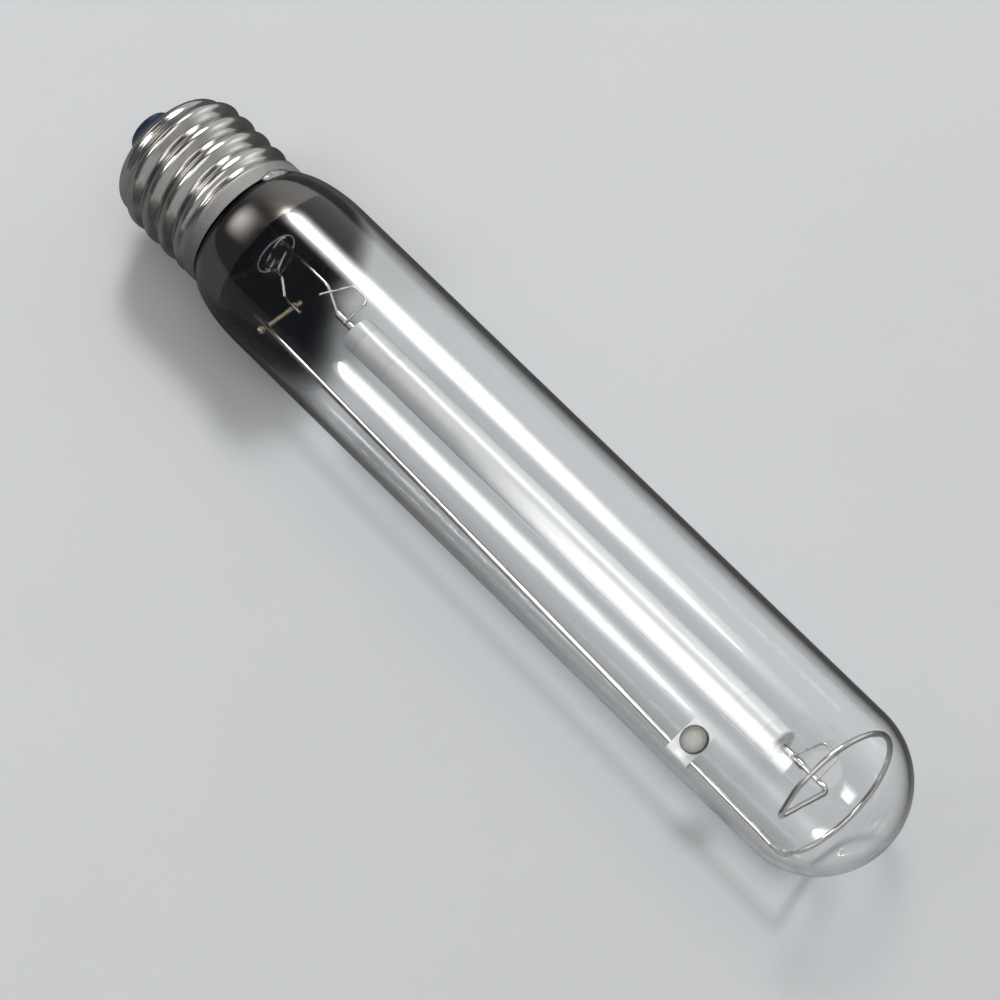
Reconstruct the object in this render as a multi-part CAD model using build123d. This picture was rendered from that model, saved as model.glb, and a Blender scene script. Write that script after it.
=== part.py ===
from build123d import *
import math
import os

os.makedirs("parts", exist_ok=True)

# All sizes are in millimetres. The lamp lies on its glass tube, with its axis along X and the
# dome at +X. Stations are measured along the axis from the tip of the centre contact.
# Inside the lamp, z points to the side of the frame wire and y at right angles to it.

# Outer bulb
lamp_length = 286.0
tube_diameter = 47.0
glass_wall = 1.3
shoulder_length = 19.0
shoulder_sweep = 60.0
neck_length = 12.0
neck_clearance = 1.1
rim_gap = 1.6
lamp_roll = 113.4

# Screw base, with the round rolled thread of the large screw cap
thread_crest_diameter = 39.5
thread_depth = 1.95
thread_pitch = 6.35
thread_phase = 333.0
thread_fade_length = 2.6
sections_per_turn = 10
shell_length = 34.0
shell_sheet = 0.4
shell_corner = 2.4
skirt_length = 4.8
skirt_step = 0.25
end_lip_width = 2.5

# Centre contact and its insulator
solder_height = 0.9
solder_diameter = 5.4
contact_thickness = 0.6
contact_diameter = 10.0
insulator_height = 8.0
insulator_end_diameter = 11.4
insulator_waist_diameter = 14.6
insulator_edge = 0.8
insulator_flange = 4.6
insulator_flange_clearance = 1.9
lead_passage_diameter = 2.0

# Cement that holds the glass neck in the base shell
cement_length = 7.0
cement_setback = 3.4

# Solder bead on the rim of the shell
rim_solder_radius = 3.4
rim_solder_sink = 1.3
rim_solder_setback = 1.9
rim_solder_overhang = 1.0
rim_lead_overrun = 0.5
rim_solder_angle = 135.0

# Glass stem with its press and exhaust tube
stem_diameter = 12.0
stem_wall = 1.0
press_width = 12.6
press_thickness = 4.0
press_corner = 1.6
press_length = 5.5
press_root_length = 4.0
stem_tube_length = 10.5
press_turn = 37.0
exhaust_diameter = 5.0
exhaust_bore = 3.0
exhaust_length = 22.0
exhaust_port = 1.8

# Wires
lead_spacing = 8.4
inner_lead_diameter = 1.0
outer_lead_diameter = 0.8
frame_wire_diameter = 1.5
cross_bar_diameter = 1.7
jumper_diameter = 0.65
seal_clearance = 0.02
weld_clearance = 0.02
bend_radius = 2.4
tight_bend_radius = 1.6

# Frame wire, its end loop and its hook
frame_start_gap = 17.6
frame_start_offset = 15.0
loop_wall_gap = 1.6
loop_past_dome_centre = 5.0
loop_corner_step = 30.0
loop_corner_count = 10
loop_end_reach = 12.0
loop_straight = 0.4
hook_setback = 1.4
hook_insertion = 4.5

# Cross bar between the frame wire and its lead
bar_gap = 21.6
bar_overhang = 2.0
bar_far_rise = 3.4
frame_lead_overrun = 3.2
frame_lead_span = 8.6

# Arc tube
arc_tube_diameter = 9.4
arc_tube_wall = 0.8
arc_start_gap = 42.4
arc_end_gap = 13.4
arc_tube_corner = 0.7
plug_disc_thickness = 4.5
plug_sleeve_length = 15.2
plug_sleeve_wall = 0.6
plug_recess = 0.5
fit_clearance = 0.02

# Niobium tubes, seals and electrodes
niobium_diameter = 2.1
niobium_bore = 1.65
niobium_reach = 7.6
niobium_depth = 8.0
niobium_floor = 1.0
seal_diameter = 4.6
electrode_diameter = 1.0
electrode_reach = 11.0
coil_diameter = 2.6
coil_turns = 6
coil_wire = 0.5
coil_setback = 1.0
lead_insertion = 3.4
pellet_diameter = 1.6
pellet_gap = 3.0

# Jumper wires beside the arc tube's ends
jumper_height = 7.8
jumper_weld_setback = 4.0
jumper_cross_gap = 4.4
jumper_tail = 2.6
jumper_lean = 3.8
dome_jumper_reach = 5.2

# Getter on the frame wire
getter_length = 7.7
getter_width = 10.0
getter_fold = 1.2
getter_sheet = 0.25
getter_corner = 1.3
getter_tail = 2.4
getter_gap = 17.9
pill_diameter = 7.4
pill_height = 1.2
pill_edge = 0.3
pill_offset = 4.9

# Radii and stations worked out from the sizes above
tube_radius = tube_diameter / 2
inner_radius = tube_radius - glass_wall
dome_centre = lamp_length - tube_radius
contact_face = solder_height
insulator_end = contact_face + contact_thickness
shell_end = insulator_end + insulator_height
rim = shell_end + shell_length
crest_radius = thread_crest_diameter / 2
root_radius = crest_radius - thread_depth
skirt_radius = crest_radius - skirt_step
thread_start = shell_end + shell_corner
thread_end = rim - skirt_length
mean_radius = (crest_radius + root_radius) / 2
thread_swing = thread_depth / 2
end_corner_radius = mean_radius - shell_corner
end_opening = end_corner_radius - end_lip_width
neck_radius = root_radius - shell_sheet - neck_clearance
neck_bore = neck_radius - glass_wall
neck_end = rim - neck_length
shoulder_end = rim + shoulder_length
frame_radius = frame_wire_diameter / 2
lead_radius = inner_lead_diameter / 2
outer_lead_radius = outer_lead_diameter / 2
bar_radius = cross_bar_diameter / 2
jumper_radius = jumper_diameter / 2
arc_radius = arc_tube_diameter / 2
arc_bore = arc_radius - arc_tube_wall
arc_start = rim + arc_start_gap
arc_end = dome_centre - arc_end_gap
press_start = neck_end + stem_diameter / 2 + stem_tube_length
joint_station = press_start + press_root_length
press_top = joint_station + press_length
loop_station = dome_centre + loop_past_dome_centre
loop_radius = math.sqrt(inner_radius ** 2 - loop_past_dome_centre ** 2) - frame_radius - loop_wall_gap
frame_start = rim + frame_start_gap
bar_station = rim + bar_gap
lead_half = lead_spacing / 2
bar_slope = bar_far_rise / frame_lead_span
bar_tilt = math.hypot(1.0, bar_slope)
lead_depth = (bar_radius + lead_radius + weld_clearance) * bar_tilt
electrode_tip = niobium_depth + electrode_reach
tube_weld_depth = niobium_diameter / 2 + jumper_radius + weld_clearance
hook_weld_depth = frame_radius + jumper_radius + weld_clearance


def turned(points):
    """Solid of revolution about the lamp's axis from (station, radius) points."""
    outline = Polyline(*points, close=True)
    return revolve(make_face(outline), Axis.X)


def turned_edges(edges):
    """Solid of revolution about the lamp's axis from joined edges."""
    return revolve(make_face(edges), Axis.X)


def ring(start, end, bore, radius):
    """Plain ring about the lamp's axis between two stations."""
    return turned([(start, bore), (start, radius), (end, radius), (end, bore)])


def rod(start, end, radius):
    """Round bar between two points."""
    path = Line(start, end)
    return sweep(Plane(origin=path @ 0, z_dir=path % 0) * Circle(radius), path)


def bent_wire(points, radii, radius):
    """Round wire along straight runs joined by tangent arcs."""
    path = FilletPolyline(*points, radius=radii)
    return sweep(Plane(origin=path @ 0, z_dir=path % 0) * Circle(radius), path)


def around(station, radius, angle):
    """Point at a station, at a radius and at an angle from the frame wire's side towards +y."""
    turn = math.radians(angle)
    return Vector(station, radius * math.sin(turn), radius * math.cos(turn))


def frame_offset(station):
    """Distance of the straight frame wire from the axis."""
    share = (station - frame_start) / (loop_station - frame_start)
    return frame_start_offset + (loop_radius - frame_start_offset) * share


# Base shell
def thread_circles(inset):
    """Circles whose centres follow a helix, faded out at both ends of the thread."""
    span = thread_end - thread_start
    count = math.ceil(span / thread_pitch * sections_per_turn)
    circles = []
    for index in range(count + 1):
        station = thread_start + span * index / count
        start_fade = min(1.0, (station - thread_start) / thread_fade_length)
        end_fade = min(1.0, (thread_end - station) / thread_fade_length)
        swing = thread_swing * start_fade * end_fade
        radius = mean_radius + (skirt_radius - mean_radius) * (1.0 - end_fade) - inset
        angle = thread_phase - 360.0 * (station - thread_start) / thread_pitch
        plane = Plane(origin=around(station, swing, angle), x_dir=(0, 1, 0), z_dir=(1, 0, 0))
        circles.append(Wire.make_circle(radius, plane))
    return circles


def threaded_sleeve():
    """Sheet between an outer and an inner thread surface, closed by a ring at each end."""
    outer = thread_circles(0.0)
    inner = thread_circles(shell_sheet)
    faces = []
    for circles in (outer, inner):
        faces += Solid.make_loft(circles).faces().filter_by(GeomType.PLANE, reverse=True)
    for end in (0, -1):
        faces.append(Face(outer[end], [inner[end]]))
    return Solid(Shell(faces))


def shell_cap():
    """Rounded end of the shell around the insulator's opening."""
    corner_centre = (thread_start, end_corner_radius)
    inside = shell_end + shell_sheet
    edges = [
        CenterArc(corner_centre, shell_corner, 90, 90),
        Line((shell_end, end_corner_radius), (shell_end, end_opening)),
        Line((shell_end, end_opening), (inside, end_opening)),
        Line((inside, end_opening), (inside, end_corner_radius)),
        CenterArc(corner_centre, shell_corner - shell_sheet, 90, 90),
        Line((thread_start, mean_radius - shell_sheet), (thread_start, mean_radius)),
    ]
    return turned_edges(edges)


def base_shell():
    return shell_cap() + threaded_sleeve() + ring(thread_end, rim, skirt_radius - shell_sheet, skirt_radius)


# Insulator and centre contact
def base_insulator():
    passage = lead_passage_diameter / 2
    end_radius = insulator_end_diameter / 2
    waist = insulator_waist_diameter / 2
    seat = end_opening - fit_clearance
    flange_radius = root_radius - shell_sheet - insulator_flange_clearance
    flange_start = shell_end + shell_sheet + fit_clearance
    flange_end = flange_start + insulator_flange
    waist_station = insulator_end + insulator_height / 2
    points = [
        (insulator_end, passage),
        (insulator_end, end_radius - insulator_edge),
        (insulator_end + insulator_edge, end_radius),
        (waist_station, waist),
        (shell_end, seat),
        (flange_start, seat),
        (flange_start, flange_radius),
        (flange_end, flange_radius),
        (flange_end, passage),
    ]
    return turned(points)


def contact_plate():
    return ring(contact_face, insulator_end, outer_lead_radius + fit_clearance, contact_diameter / 2)


def contact_solder(lead):
    base = solder_diameter / 2
    cap_radius = (base ** 2 + solder_height ** 2) / (2 * solder_height)
    sweep_angle = math.degrees(math.asin(base / cap_radius))
    edges = [
        CenterArc((cap_radius, 0), cap_radius, 180 - sweep_angle, sweep_angle),
        Line((0, 0), (contact_face, 0)),
        Line((contact_face, 0), (contact_face, base)),
    ]
    return turned_edges(edges) - lead


def rim_solder(lead):
    """Bead on the outside of the skirt that laps over its rim to the lead's end."""
    bead = Pos(*around(rim - rim_solder_setback, skirt_radius - rim_solder_sink, rim_solder_angle))
    bead *= Sphere(rim_solder_radius)
    reach = rim + rim_solder_radius
    lap = rim + rim_solder_overhang
    neck = neck_radius + seal_clearance
    outside = tube_radius + rim_solder_radius
    keep_out = [
        (thread_start, 0),
        (thread_start, skirt_radius),
        (rim, skirt_radius),
        (rim, neck),
        (lap, neck),
        (lap, outside),
        (reach, outside),
        (reach, 0),
    ]
    return bead - turned(keep_out) - lead


def basing_cement(lead):
    end = rim - cement_setback - skirt_length
    outer = root_radius - shell_sheet - fit_clearance
    inner = neck_radius + fit_clearance
    return ring(end - cement_length, end, inner, outer) - lead


# Outer bulb
def bulb_outline(radius, length, shoulder_depth, neck):
    """Edges of one glass surface from the dome's tip to the end of the neck."""
    rise = radius - neck_radius
    shoulder = EllipticalCenterArc(
        (shoulder_end, neck_radius), shoulder_depth, rise, start_angle=90, arc_size=shoulder_sweep
    )
    corner = (rim + rim_gap + neck_radius - neck, neck)
    return [
        CenterArc((dome_centre, 0), length, 0, 90),
        Line((dome_centre, radius), (shoulder_end, radius)),
        shoulder,
        Line(shoulder @ 1, corner),
        Line(corner, (neck_end, neck)),
    ]


def outer_bulb():
    outside = bulb_outline(tube_radius, tube_radius, shoulder_length, neck_radius)
    inside = bulb_outline(inner_radius, inner_radius, shoulder_length - glass_wall, neck_bore)
    tip = Line((dome_centre + inner_radius, 0), (lamp_length, 0))
    neck_face = Line((neck_end, neck_radius), (neck_end, neck_bore))
    return turned_edges(outside + inside + [tip, neck_face])


# Stem
def lead_place(station, side, radius):
    """Point on a lead's line through the press, on the frame side (1) or the arc side (-1)."""
    return around(station, side * radius, -press_turn)


def stem(leads):
    stem_radius = stem_diameter / 2
    bore = stem_radius - stem_wall
    flare = neck_bore - fit_clearance
    sweep_radius = flare - stem_radius
    tube_start = neck_end + stem_wall + sweep_radius
    flare_tube = [
        CenterArc((tube_start, flare), sweep_radius, 180, 90),
        Line((tube_start, stem_radius), (press_start, stem_radius)),
        Line((press_start, stem_radius), (press_start, bore)),
        Line((press_start, bore), (tube_start, bore)),
        CenterArc((tube_start, flare), sweep_radius + stem_wall, 180, 90),
        Line((neck_end, flare), (neck_end + stem_wall, flare)),
    ]
    body = turned_edges(flare_tube)
    press_plane = Plane(origin=(press_start, 0, 0), x_dir=(0, 1, 0), z_dir=(1, 0, 0))
    across = around(0, 1, -press_turn)
    flat_plane = Plane(origin=(joint_station, 0, 0), x_dir=across, z_dir=(1, 0, 0))
    flat = flat_plane * RectangleRounded(press_width, press_thickness, press_corner)
    body += loft([press_plane * Circle(stem_radius), flat])
    body += extrude(flat, press_length)
    exhaust_end = press_start - exhaust_length
    exhaust_radius = exhaust_diameter / 2
    exhaust = rod((exhaust_end, 0, 0), (press_start, 0, 0), exhaust_radius)
    body += exhaust + Pos(exhaust_end, 0, 0) * Sphere(exhaust_radius)
    body -= rod((exhaust_end, 0, 0), (press_start, 0, 0), exhaust_bore / 2)
    body -= rod((press_start, 0, 0), (press_top, 0, 0), exhaust_port / 2)
    for lead in leads:
        body -= lead
    return body


# Leads through the press
def bar_point(offset):
    """Point on the cross bar's line at a distance from the frame wire towards its lead."""
    behind = (frame_radius + bar_radius + weld_clearance) * bar_tilt
    return Vector(bar_station, -behind - bar_slope * offset, frame_offset(bar_station) - offset)


def inner_lead_frame(radius):
    exit_point = lead_place(press_top, 1, lead_half)
    start = lead_place(joint_station, 1, lead_half)
    cross = bar_point(frame_lead_span)
    touch = Vector(cross.X, cross.Y + lead_depth, cross.Z)
    end = Vector(touch.X + frame_lead_overrun, touch.Y, touch.Z)
    knee = Vector(touch.X - frame_lead_overrun, touch.Y, touch.Z)
    rise = exit_point + Vector(lead_radius, 0, 0)
    return bent_wire([start, rise, knee, end], [tight_bend_radius, bend_radius], radius)


def arc_lead_bends():
    """The two bends between which the arc tube's lead slants to the axis."""
    tube_mouth = arc_start - niobium_reach
    knee = lead_place(tube_mouth - lead_half - bend_radius, -1, lead_half)
    return knee, Vector(tube_mouth - lead_radius, 0, 0)


def inner_lead_arc(radius):
    start = lead_place(joint_station, -1, lead_half)
    knee, mouth = arc_lead_bends()
    end = mouth + Vector(lead_radius + lead_insertion, 0, 0)
    return bent_wire([start, knee, mouth, end], [bend_radius, bend_radius], radius)


def outer_lead_contact(radius):
    start = lead_place(joint_station, 1, lead_half)
    tip_room = press_start - exhaust_length - exhaust_diameter
    turn = lead_place(tip_room, 1, lead_half)
    centre = Vector(tip_room - lead_half, 0, 0)
    end = Vector(contact_face / 2, 0, 0)
    return bent_wire([start, turn, centre, end], [bend_radius, bend_radius], radius)


def outer_lead_rim(radius):
    start = lead_place(joint_station, -1, lead_half)
    gap_radius = (neck_radius + root_radius - shell_sheet) / 2
    below = neck_end - bend_radius
    turn = lead_place(below, -1, lead_half)
    outside = around(below, gap_radius, rim_solder_angle)
    end = around(rim + rim_lead_overrun, gap_radius, rim_solder_angle)
    return bent_wire([start, turn, outside, end], [tight_bend_radius, tight_bend_radius], radius)


# Frame wire with its loop against the dome and its hook into the arc tube's end
def frame_wire():
    first = Vector(frame_start, 0, frame_offset(frame_start))
    corner = Vector(loop_station, 0, loop_radius)
    half_step = loop_corner_step / 2
    corner_radius = loop_radius / math.cos(math.radians(half_step))
    points = [first, corner]
    for index in range(loop_corner_count):
        points.append(around(loop_station, corner_radius, -half_step - loop_corner_step * index))
    last_angle = loop_corner_step * loop_corner_count + loop_end_reach
    points.append(around(loop_station, loop_radius / math.cos(math.radians(loop_end_reach)), -last_angle))
    points.append(Vector(loop_station - hook_setback, 0, 0))
    points.append(Vector(arc_end + niobium_reach - hook_insertion, 0, 0))
    half_run = loop_radius * math.tan(math.radians(half_step))
    soft_corner = (half_run - bend_radius - loop_straight) / math.tan(math.radians(half_step))
    loop_bend = loop_radius - frame_radius
    radii = [bend_radius, soft_corner] + [loop_bend] * (loop_corner_count - 2)
    radii += [soft_corner, tight_bend_radius, bend_radius]
    return bent_wire(points, radii, frame_radius)


def cross_bar():
    return rod(bar_point(-bar_overhang), bar_point(frame_lead_span + bar_overhang), bar_radius)


# Getter
def getter_plane():
    station = arc_end - getter_gap
    run = Vector(loop_station - frame_start, 0, loop_radius - frame_start_offset)
    return Plane(origin=(station, 0, frame_offset(station)), x_dir=run, z_dir=(0, 1, 0))


def getter_plate():
    """Sheet folded round the frame wire, with its flat face towards +y."""
    grip = frame_radius + weld_clearance
    outer = grip + getter_sheet
    middle = grip + getter_sheet / 2
    flat = Pos(0, getter_width / 2, middle) * Box(getter_length, getter_width, getter_sheet)
    far_edges = flat.edges().filter_by(Axis.Z).group_by(Axis.Y)[-1]
    flat = fillet(far_edges, getter_corner)
    tail = Pos(0, getter_tail / 2, -middle) * Box(getter_length, getter_tail, getter_sheet)
    along = Rot(0, 90, 0)
    roll = along * Cylinder(outer, getter_length) - along * Cylinder(grip, getter_length)
    roll &= Pos(0, -outer, 0) * Box(getter_length, 2 * outer, 2 * outer)
    return getter_plane() * Pos(0, -getter_fold, 0) * (flat + roll + tail)


def getter_pill():
    seat = frame_radius + weld_clearance + getter_sheet
    pill = Pos(0, pill_offset, seat + pill_height / 2) * Cylinder(pill_diameter / 2, pill_height)
    pill = fillet(pill.edges().group_by(Axis.Z)[-1], pill_edge)
    return getter_plane() * pill


# Arc tube
def arc_tube():
    tube = ring(arc_start, arc_end, arc_bore, arc_radius)
    circles = tube.edges().filter_by(GeomType.CIRCLE)
    return fillet(circles.group_by(SortBy.RADIUS)[-1], arc_tube_corner)


def at_end(station, points):
    """Points measured into the arc tube from one end, as (depth, radius), at that end's stations."""
    direction = 1 if station == arc_start else -1
    return [(station + direction * depth, radius) for depth, radius in points]


def end_plug(station):
    edge = arc_bore - fit_clearance
    hole = niobium_diameter / 2 + fit_clearance
    sleeve = edge - plug_sleeve_wall
    disc_end = plug_recess + plug_disc_thickness
    profile = [(plug_recess, hole), (plug_recess, edge), (plug_sleeve_length, edge)]
    profile += [(plug_sleeve_length, sleeve), (disc_end, sleeve), (disc_end, hole)]
    return turned(at_end(station, profile))


def seal_ring(station):
    hole = niobium_diameter / 2 + fit_clearance
    edge = seal_diameter / 2
    profile = [(plug_recess, hole), (plug_recess, edge), (plug_recess / 2, edge), (-plug_recess, hole)]
    return turned(at_end(station, profile))


def niobium_tube(station):
    bore = niobium_bore / 2
    edge = niobium_diameter / 2
    floor = niobium_depth - niobium_floor
    profile = [(-niobium_reach, bore), (-niobium_reach, edge), (niobium_depth, edge)]
    profile += [(niobium_depth, 0), (floor, 0), (floor, bore)]
    return turned(at_end(station, profile))


def electrode_rod(station):
    radius = electrode_diameter / 2
    profile = [(niobium_depth, 0), (niobium_depth, radius), (electrode_tip, radius), (electrode_tip, 0)]
    return turned(at_end(station, profile))


def electrode_coil(station):
    """Close-wound coil near the electrode's tip, as one ridged sleeve."""
    hole = electrode_diameter / 2 + fit_clearance
    ridge = coil_diameter / 2
    valley = ridge - coil_wire / 2
    start = electrode_tip - coil_setback - coil_turns * coil_wire
    profile = [(start, hole), (start, valley)]
    for turn in range(coil_turns):
        profile.append((start + (turn + 0.5) * coil_wire, ridge))
        profile.append((start + (turn + 1) * coil_wire, valley))
    profile.append((start + coil_turns * coil_wire, hole))
    return turned(at_end(station, profile))


def amalgam_pellet():
    """Loose pellet at the lowest point of the base plug's sleeve."""
    radius = pellet_diameter / 2
    sleeve = arc_bore - fit_clearance - plug_sleeve_wall
    station = arc_start + plug_sleeve_length - pellet_gap
    centre = around(station, sleeve - radius - fit_clearance, lamp_roll + 90.0)
    return Pos(*centre) * Sphere(radius)


# Jumper wires, welded on the niobium tubes and on the wires that enter them
def base_jumper():
    weld = arc_start - jumper_weld_setback
    knee, mouth = arc_lead_bends()
    slant = (mouth - knee).normalized()
    crossing = mouth - slant * (jumper_cross_gap / slant.X)
    climb = Vector(jumper_lean, 0, -jumper_height - crossing.Z)
    between = slant.cross(climb).normalized()
    depth = (lead_radius + jumper_radius + weld_clearance) / between.Y
    touch = crossing + Vector(0, depth, 0)
    points = [
        touch - climb.normalized() * jumper_tail,
        touch + climb,
        Vector(weld + jumper_diameter, tube_weld_depth, -jumper_height),
        Vector(weld, tube_weld_depth, jumper_diameter),
    ]
    return bent_wire(points, [tight_bend_radius, tight_bend_radius], jumper_radius)


def dome_jumper():
    weld = arc_end + jumper_weld_setback
    hook = weld + dome_jumper_reach + jumper_weld_setback
    points = [
        Vector(weld, tube_weld_depth, jumper_diameter),
        Vector(weld + jumper_lean, tube_weld_depth, -jumper_height),
        Vector(hook, hook_weld_depth, -jumper_height),
        Vector(hook, hook_weld_depth, jumper_diameter),
    ]
    return bent_wire(points, [tight_bend_radius, tight_bend_radius], jumper_radius)


# The sealed holes in the press and the cement are the wires grown by the seal clearance
lead_holes = [
    inner_lead_frame(lead_radius + seal_clearance),
    inner_lead_arc(lead_radius + seal_clearance),
    outer_lead_contact(outer_lead_radius + seal_clearance),
    outer_lead_rim(outer_lead_radius + seal_clearance),
]

pieces = {
    "base_shell": base_shell(),
    "base_insulator": base_insulator(),
    "contact_plate": contact_plate(),
    "contact_solder": contact_solder(lead_holes[2]),
    "rim_solder": rim_solder(lead_holes[3]),
    "basing_cement": basing_cement(lead_holes[3]),
    "outer_bulb": outer_bulb(),
    "stem": stem(lead_holes),
    "frame_lead_wire": inner_lead_frame(lead_radius),
    "arc_lead_wire": inner_lead_arc(lead_radius),
    "contact_lead_wire": outer_lead_contact(outer_lead_radius),
    "rim_lead_wire": outer_lead_rim(outer_lead_radius),
    "cross_bar": cross_bar(),
    "frame_wire": frame_wire(),
    "getter_plate": getter_plate(),
    "getter_pill": getter_pill(),
    "arc_tube": arc_tube(),
    "amalgam_pellet": amalgam_pellet(),
    "base_jumper_wire": base_jumper(),
    "dome_jumper_wire": dome_jumper(),
}
for end_name, end_station in {"base": arc_start, "dome": arc_end}.items():
    pieces[end_name + "_end_plug"] = end_plug(end_station)
    pieces[end_name + "_seal_ring"] = seal_ring(end_station)
    pieces[end_name + "_niobium_tube"] = niobium_tube(end_station)
    pieces[end_name + "_electrode_rod"] = electrode_rod(end_station)
    pieces[end_name + "_electrode_coil"] = electrode_coil(end_station)

# Each piece turns with the lamp's roll and lies with the tube on the floor, centred on its length
lamp_place = Pos(-lamp_length / 2, 0, tube_radius) * Rot(lamp_roll, 0, 0)
for name, piece in pieces.items():
    export_step(lamp_place * piece, f"parts/{name}.step")
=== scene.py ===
"""Looks of a tubular high pressure sodium lamp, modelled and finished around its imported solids."""
import math

import bmesh
import bpy
from mathutils import Matrix, Vector


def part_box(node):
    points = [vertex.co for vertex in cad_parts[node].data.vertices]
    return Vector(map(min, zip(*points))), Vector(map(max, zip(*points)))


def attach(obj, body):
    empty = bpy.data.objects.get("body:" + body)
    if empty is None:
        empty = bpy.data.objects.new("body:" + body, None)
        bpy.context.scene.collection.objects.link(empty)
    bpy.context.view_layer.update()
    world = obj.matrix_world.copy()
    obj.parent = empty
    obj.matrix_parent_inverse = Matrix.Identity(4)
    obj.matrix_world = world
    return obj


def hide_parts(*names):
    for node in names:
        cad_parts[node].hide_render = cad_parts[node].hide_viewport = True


bl_info = {
    "name": "Sodium Lamp",
    "version": (1, 0, 0),
    "blender": (4, 5, 0),
    "location": "3D View > Sidebar > Lamp",
    "description": "Models the glass, base and fittings of a tubular discharge lamp and lights it",
    "category": "Object",
}

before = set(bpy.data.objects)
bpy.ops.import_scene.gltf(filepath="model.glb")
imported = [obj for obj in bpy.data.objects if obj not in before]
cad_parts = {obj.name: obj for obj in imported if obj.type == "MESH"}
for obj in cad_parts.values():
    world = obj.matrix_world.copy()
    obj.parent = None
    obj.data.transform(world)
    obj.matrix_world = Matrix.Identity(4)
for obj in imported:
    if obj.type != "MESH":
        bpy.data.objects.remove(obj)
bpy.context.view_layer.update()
bulb_low, bulb_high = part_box("outer_bulb")
shell_low, shell_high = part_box("base_shell")
insulator_low, insulator_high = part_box("base_insulator")
contact_low, contact_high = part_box("contact_plate")
tip_low, tip_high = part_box("contact_solder")
arc_low, arc_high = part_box("arc_tube")

MM = 0.001
FULL_TURN = 2 * math.pi
ALONG_LAMP = Vector((1.0, 0.0, 0.0))
SENSOR_WIDTH = 36.0

# Steps of curves, of the thread's length and of a full turn on the smaller round pieces
CURVE_STEPS = 24
SHELL_STEPS = 120
SMALL_ROUND_STEPS = 96

# The stem's press in millimetres: distance from its top, width and thickness of each section
PRESS_SECTIONS = ((-12.0, 8.6, 3.2), (-5.0, 8.8, 3.4), (-3.6, 10.8, 4.2), (-0.8, 11.2, 3.8), (0.0, 10.6, 3.0))
# Painted glints on loops round the press in millimetres: distance under its top, width and thickness
PRESS_GLINT_LOOPS = {"press_edge": (0.3, 11.4, 4.0), "press_step": (4.0, 10.6, 4.4)}

# Rings that show in the arc tube: distance from its end in millimetres, and tone
ARC_RINGS = ((0.0, 0.82), (4.2, 0.82), (4.5, 0.74), (4.9, 0.94), (14.8, 0.94), (15.2, 0.80), (15.7, 1.0))
# Painted light and shade along the arc tube: darker at the base end, brighter in the middle and by the dome
ARC_LIGHT_AND_SHADE = {"base": 0.66, "middle": 0.95, "dome": 0.98}

# Weld nuggets: finish and slot, then in millimetres the station, the distances to the front
# and to the frame wire's side, and the radius
NUGGETS = {
    "bar_end_ball": ("bar", "bar_metal", -77.9, -0.95, 17.0, 1.12),
    "bar_frame_weld": ("wire", "frame_metal", -77.9, -0.75, 15.1, 1.0),
    "bar_lead_weld": ("wire", "lead_metal", -77.9, -4.2, 6.5, 0.95),
}

# How noise is stretched: evenly, along the lamp, and for rolled sheet round it
EVEN = (1.0, 1.0, 1.0)
DRAWN = (0.1, 1.0, 1.0)
BLOWN = (0.2, 1.0, 1.0)
SINTERED = (0.3, 1.0, 1.0)
ROLLED = (1.0, 0.06, 0.06)

# Soft lights: size along and across the lamp, and the shares of the size over which their edges grow dim
REAR_STRIP = {"along": 0.75, "across": 0.90, "soft_ends": 0.9, "soft_sides": 1.0, "falloff": 2.2}
FRONT_BOX = {"along": 0.40, "across": 0.80, "soft_ends": 0.5, "soft_sides": 1.0}
BASE_WINDOW = {"along": 1.3, "across": 1.8, "soft_ends": 1.0, "soft_sides": 1.0}
SIDE_WINDOW = {"along": 2.4, "across": 1.8, "soft_ends": 0.8, "soft_sides": 0.8}

# Painted light and shade on the floor that mirrors show: stretches in metres along the lamp by the dome and
# by the base, and across it towards the front, and how bright it is by the base
DOME_FLOOR = (-0.10, 0.10)
BASE_FLOOR = (-0.115, -0.095)
BASE_FLOOR_SHARE = 0.22
FRONT_FLOOR = (-0.02, 0.06)

# How far round the pale light reaches behind the lamp and beyond the dome, and its share there
PALE_BEHIND = (0.0, 0.8)
PALE_AHEAD = (0.0, 0.6)
PALE_AHEAD_SHARE = 0.6


# Settings
def length(label, words, default):
    """A size in metres."""
    return bpy.props.FloatProperty(name=label, description=words, default=default, unit="LENGTH", precision=5)


def angle(label, words, degrees):
    """An angle, given in degrees."""
    turn = math.radians(degrees)
    return bpy.props.FloatProperty(name=label, description=words, default=turn, subtype="ANGLE")


def colour(label, words, default):
    """A linear colour."""
    return bpy.props.FloatVectorProperty(
        name=label, description=words, default=default, subtype="COLOR", size=3, min=0.0, max=1.0
    )


def count(label, words, default):
    """A whole number."""
    return bpy.props.IntProperty(name=label, description=words, default=default, min=3)


def share(label, words, default):
    """A number without a unit."""
    return bpy.props.FloatProperty(name=label, description=words, default=default)


def position(label, words, default):
    """A point in metres."""
    return bpy.props.FloatVectorProperty(
        name=label, description=words, default=default, subtype="TRANSLATION", unit="LENGTH", size=3
    )


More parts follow.
